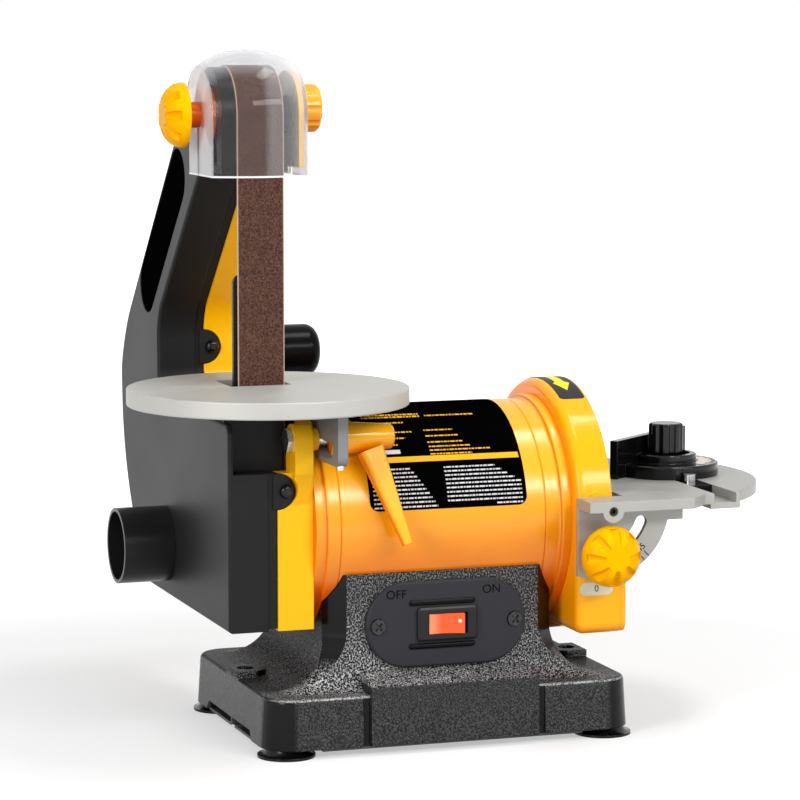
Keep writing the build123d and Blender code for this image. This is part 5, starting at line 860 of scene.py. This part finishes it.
arrow_label()

# Zero mark on the guard front
ZERO_AT = (82.3 * MM, 80.6 * MM)
ZERO_SIZE = (19.4 * MM, 7.2 * MM)
ZERO_CORNER = ZERO_SIZE[1] * 0.499
ZERO_WORD = 5.0 * MM
ZERO_LIFT = LABEL_THICK + 0.04 * MM


def zero_label():
    """A pale oval sheet with the tilt scale's zero."""
    plate = flat_plate(rounded_outline(*ZERO_SIZE, ZERO_CORNER), LABEL_THICK)
    stand_facing_front(plate, ZERO_AT[0], -GUARD_R, ZERO_AT[1])
    add_piece("zero_label", plate, "frame", label_cream)
    spot = (ZERO_AT[0], -GUARD_R - ZERO_LIFT, ZERO_AT[1])
    add_words("zero_mark", "0", ZERO_WORD, spot, "frame")


zero_label()

# Tilt scale on the front quadrant
TICK_STEP = 5
TICK_COUNT = 10
TICK_HALF = 0.25 * MM
TICK_END = 0.4 * MM
TICK_LENGTHS = (3.8 * MM, 2.6 * MM)
TICK_LONG_EVERY = 3
NUMBERS = (15, 30, 45)
NUMBER_SIZE = 5.0 * MM
NUMBER_INSET = 6.6 * MM


def tilt_scale():
    """Ticks and numbers along the quadrant's round edge."""
    bm = bmesh.new()
    pivot = Vector((QUADRANT_PIVOT[0], QUADRANT_FRONT - PRINT_SINK, QUADRANT_PIVOT[1]))
    lift = Vector((0.0, -PRINT_THICK, 0.0))
    for i in range(TICK_COUNT):
        angle = math.radians(-90 + TICK_STEP * i)
        outward = Vector((math.cos(angle), 0.0, math.sin(angle)))
        sideways = Vector((-math.sin(angle), 0.0, math.cos(angle))) * TICK_HALF
        end = pivot + outward * (QUADRANT_R - TICK_END)
        length = TICK_LENGTHS[0 if i % TICK_LONG_EVERY == 0 else 1]
        add_tick(bm, end, outward, sideways, length, lift)
    bmesh.ops.recalc_face_normals(bm, faces=bm.faces[:])
    add_piece("tilt_ticks", bm, "disc_table", ink)
    for degrees in NUMBERS:
        angle = math.radians(-90 + degrees)
        reach = QUADRANT_R - NUMBER_INSET
        x = QUADRANT_PIVOT[0] + reach * math.cos(angle)
        z = QUADRANT_PIVOT[1] + reach * math.sin(angle)
        spot = (x, QUADRANT_FRONT - 2 * PRINT_SINK, z)
        name = f"tilt_number_{degrees}"
        add_words(name, str(degrees), NUMBER_SIZE, spot, "disc_table", degrees - 90)


tilt_scale()

# Switch words and the lamp in the rocker
SWITCH_WORDS = {"OFF": (-27.3 * MM, 81.4 * MM), "ON": (26.3 * MM, 81.8 * MM)}
SWITCH_WORD_SIZE = 6.6 * MM
LAMP_AT = (7.27 * MM, -63.74 * MM, 66.2 * MM)
LAMP_R = 1.0 * MM
LAMP_DOME = 0.35 * MM
LAMP_LEAN = 21.0
LAMP_STEPS = 24
LAMP_RINGS = 5


def switch_marks():
    """The two words on the switch plate."""
    for words, (x, z) in SWITCH_WORDS.items():
        spot = (x, SWITCH_FACE - 2 * PRINT_SINK, z)
        add_words(f"switch_word_{words.lower()}", words, SWITCH_WORD_SIZE, spot, "frame")


def rocker_lamp():
    """A small domed lens set in the rocker's face."""
    bm = bmesh.new()
    rings = []
    for i in range(LAMP_RINGS):
        rise = math.radians(90 * i / LAMP_RINGS)
        ring = []
        for k in range(LAMP_STEPS):
            around = 2 * math.pi * k / LAMP_STEPS
            reach = LAMP_R * math.cos(rise)
            point = (reach * math.cos(around), -LAMP_DOME * math.sin(rise), reach * math.sin(around))
            ring.append(bm.verts.new(point))
        rings.append(ring)
    bm.faces.new(rings[0])
    for lower, upper in zip(rings, rings[1:]):
        for k in range(LAMP_STEPS):
            after = (k + 1) % LAMP_STEPS
            bm.faces.new((lower[k], lower[after], upper[after], upper[k]))
    bm.faces.new(rings[-1])
    bmesh.ops.recalc_face_normals(bm, faces=bm.faces[:])
    lean = Matrix.Rotation(math.radians(-LAMP_LEAN), 4, "Z")
    bmesh.ops.transform(bm, matrix=lean, verts=bm.verts[:])
    add_piece("rocker_lamp", lay_flat(bm, *LAMP_AT), "rocker", lamp_white)


switch_marks()
rocker_lamp()

# Scale ring on the miter plate
SCALE_R = (18.4 * MM, 28.2 * MM)
SCALE_ANGLES = (-62.0, 34.0)
SCALE_STEPS = 24
SCALE_THICK = 0.15 * MM
SCALE_TICK_HALF = 0.14 * MM
SCALE_TICKS = (4.0 * MM, 2.2 * MM)
SCALE_LONG_EVERY = 4


def miter_scale():
    """A metal sector with its ticks on the miter head's plate."""
    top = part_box("miter_head")[0].z + MITER_PLATE
    plate = flat_plate(ring_outline(SCALE_R, SCALE_ANGLES, SCALE_STEPS), SCALE_THICK)
    add_piece("miter_scale", lay_flat(plate, *MITER_PIVOT, top), "miter_head", scale_metal)
    bm = bmesh.new()
    pivot = Vector((*MITER_PIVOT, top + SCALE_THICK + 2 * PRINT_SINK))
    lift = Vector((0.0, 0.0, PRINT_THICK))
    span = SCALE_ANGLES[1] - SCALE_ANGLES[0]
    for i in range(1, SCALE_STEPS):
        angle = math.radians(SCALE_ANGLES[0] + span * i / SCALE_STEPS)
        outward = Vector((math.cos(angle), math.sin(angle), 0.0))
        sideways = Vector((-math.sin(angle), math.cos(angle), 0.0)) * SCALE_TICK_HALF
        end = pivot + outward * (SCALE_R[1] - TICK_END)
        length = SCALE_TICKS[0 if i % SCALE_LONG_EVERY == 0 else 1]
        add_tick(bm, end, outward, sideways, length, lift)
    bmesh.ops.recalc_face_normals(bm, faces=bm.faces[:])
    add_piece("miter_scale_ticks", bm, "miter_head", ink)


miter_scale()


# Stage
def seen_directly(tree, unseen, seen):
    """One value for light that falls on things, and another for what is seen, mirrored or looked through."""
    rays = tree.nodes.new("ShaderNodeLightPath").outputs
    total = sums(tree, "MAXIMUM", rays["Is Camera Ray"], rays["Is Glossy Ray"])
    total = sums(tree, "MAXIMUM", total, rays["Is Transmission Ray"])
    return spread(tree, total, FULL, (unseen, seen))


def white_world():
    """Even studio light, with a white backdrop for whatever looks straight at it or mirrors it."""
    world = bpy.data.worlds.new("studio")
    bpy.context.scene.world = world
    world.use_nodes = True
    tree = world.node_tree
    background = tree.nodes["Background"]
    background.inputs["Color"].default_value = (1.0, 1.0, 1.0, 1.0)
    tree.links.new(seen_directly(tree, WORLD_FILL, 1.0), background.inputs["Strength"])


def studio_floor():
    """A wide pale floor that is plain white away from the machine and keeps its soft shadow near it."""
    bm = bmesh.new()
    corners = [(-1, -1), (1, -1), (1, 1), (-1, 1)]
    bm.faces.new([bm.verts.new((FLOOR_HALF * x, FLOOR_HALF * y, 0.0)) for x, y in corners])
    mesh = bpy.data.meshes.new("studio_floor")
    bm.to_mesh(mesh)
    bm.free()
    floor = bpy.data.objects.new("studio_floor", mesh)
    bpy.context.scene.collection.objects.link(floor)
    material, tree, shader = new_material("studio_floor")
    shader.inputs["Base Color"].default_value = srgb(FLOOR_TONE, FLOOR_TONE, FLOOR_TONE)
    shader.inputs["Roughness"].default_value = FLOOR_ROUGHNESS
    shader.inputs["Specular IOR Level"].default_value = FLOOR_SPECULAR
    distance = tree.nodes.new("ShaderNodeVectorMath")
    distance.operation = "LENGTH"
    tree.links.new(place(tree), distance.inputs[0])
    glow = spread(tree, distance.outputs["Value"], FLOOR_FADE, FLOOR_GLOW)
    shader.inputs["Emission Color"].default_value = (1.0, 1.0, 1.0, 1.0)
    strength = product(tree, glow, seen_directly(tree, 0.0, 1.0))
    feed(tree, shader.inputs["Emission Strength"], strength)
    mesh.materials.append(material)


def soft_box(name, place_at, size, power):
    """A large rectangular lamp aimed at the machine."""
    light = bpy.data.lights.new(name, "AREA")
    light.shape = "RECTANGLE"
    light.size, light.size_y = size
    light.energy = power
    lamp = bpy.data.objects.new(name, light)
    bpy.context.scene.collection.objects.link(lamp)
    lamp.location = place_at
    lamp.rotation_euler = (Vector(AIM) - Vector(place_at)).to_track_quat("-Z", "Y").to_euler()


def photo_camera():
    """The camera at the photograph's angle."""
    data = bpy.data.cameras.new("photo_camera")
    data.lens = CAMERA_LENS
    data.sensor_width = CAMERA_SENSOR
    data.clip_end = CAMERA_FAR
    camera = bpy.data.objects.new("photo_camera", data)
    bpy.context.scene.collection.objects.link(camera)
    camera.location = CAMERA_AT
    camera.rotation_euler = (math.radians(90 - CAMERA_PITCH), 0.0, math.radians(-CAMERA_YAW))
    bpy.context.scene.camera = camera


white_world()
studio_floor()
soft_box("key_light", KEY_AT, KEY_SIZE, KEY_POWER)
soft_box("top_light", TOP_AT, TOP_SIZE, TOP_POWER)
soft_box("side_light", SIDE_AT, SIDE_SIZE, SIDE_POWER)
photo_camera()
bpy.context.scene.view_settings.view_transform = "Standard"
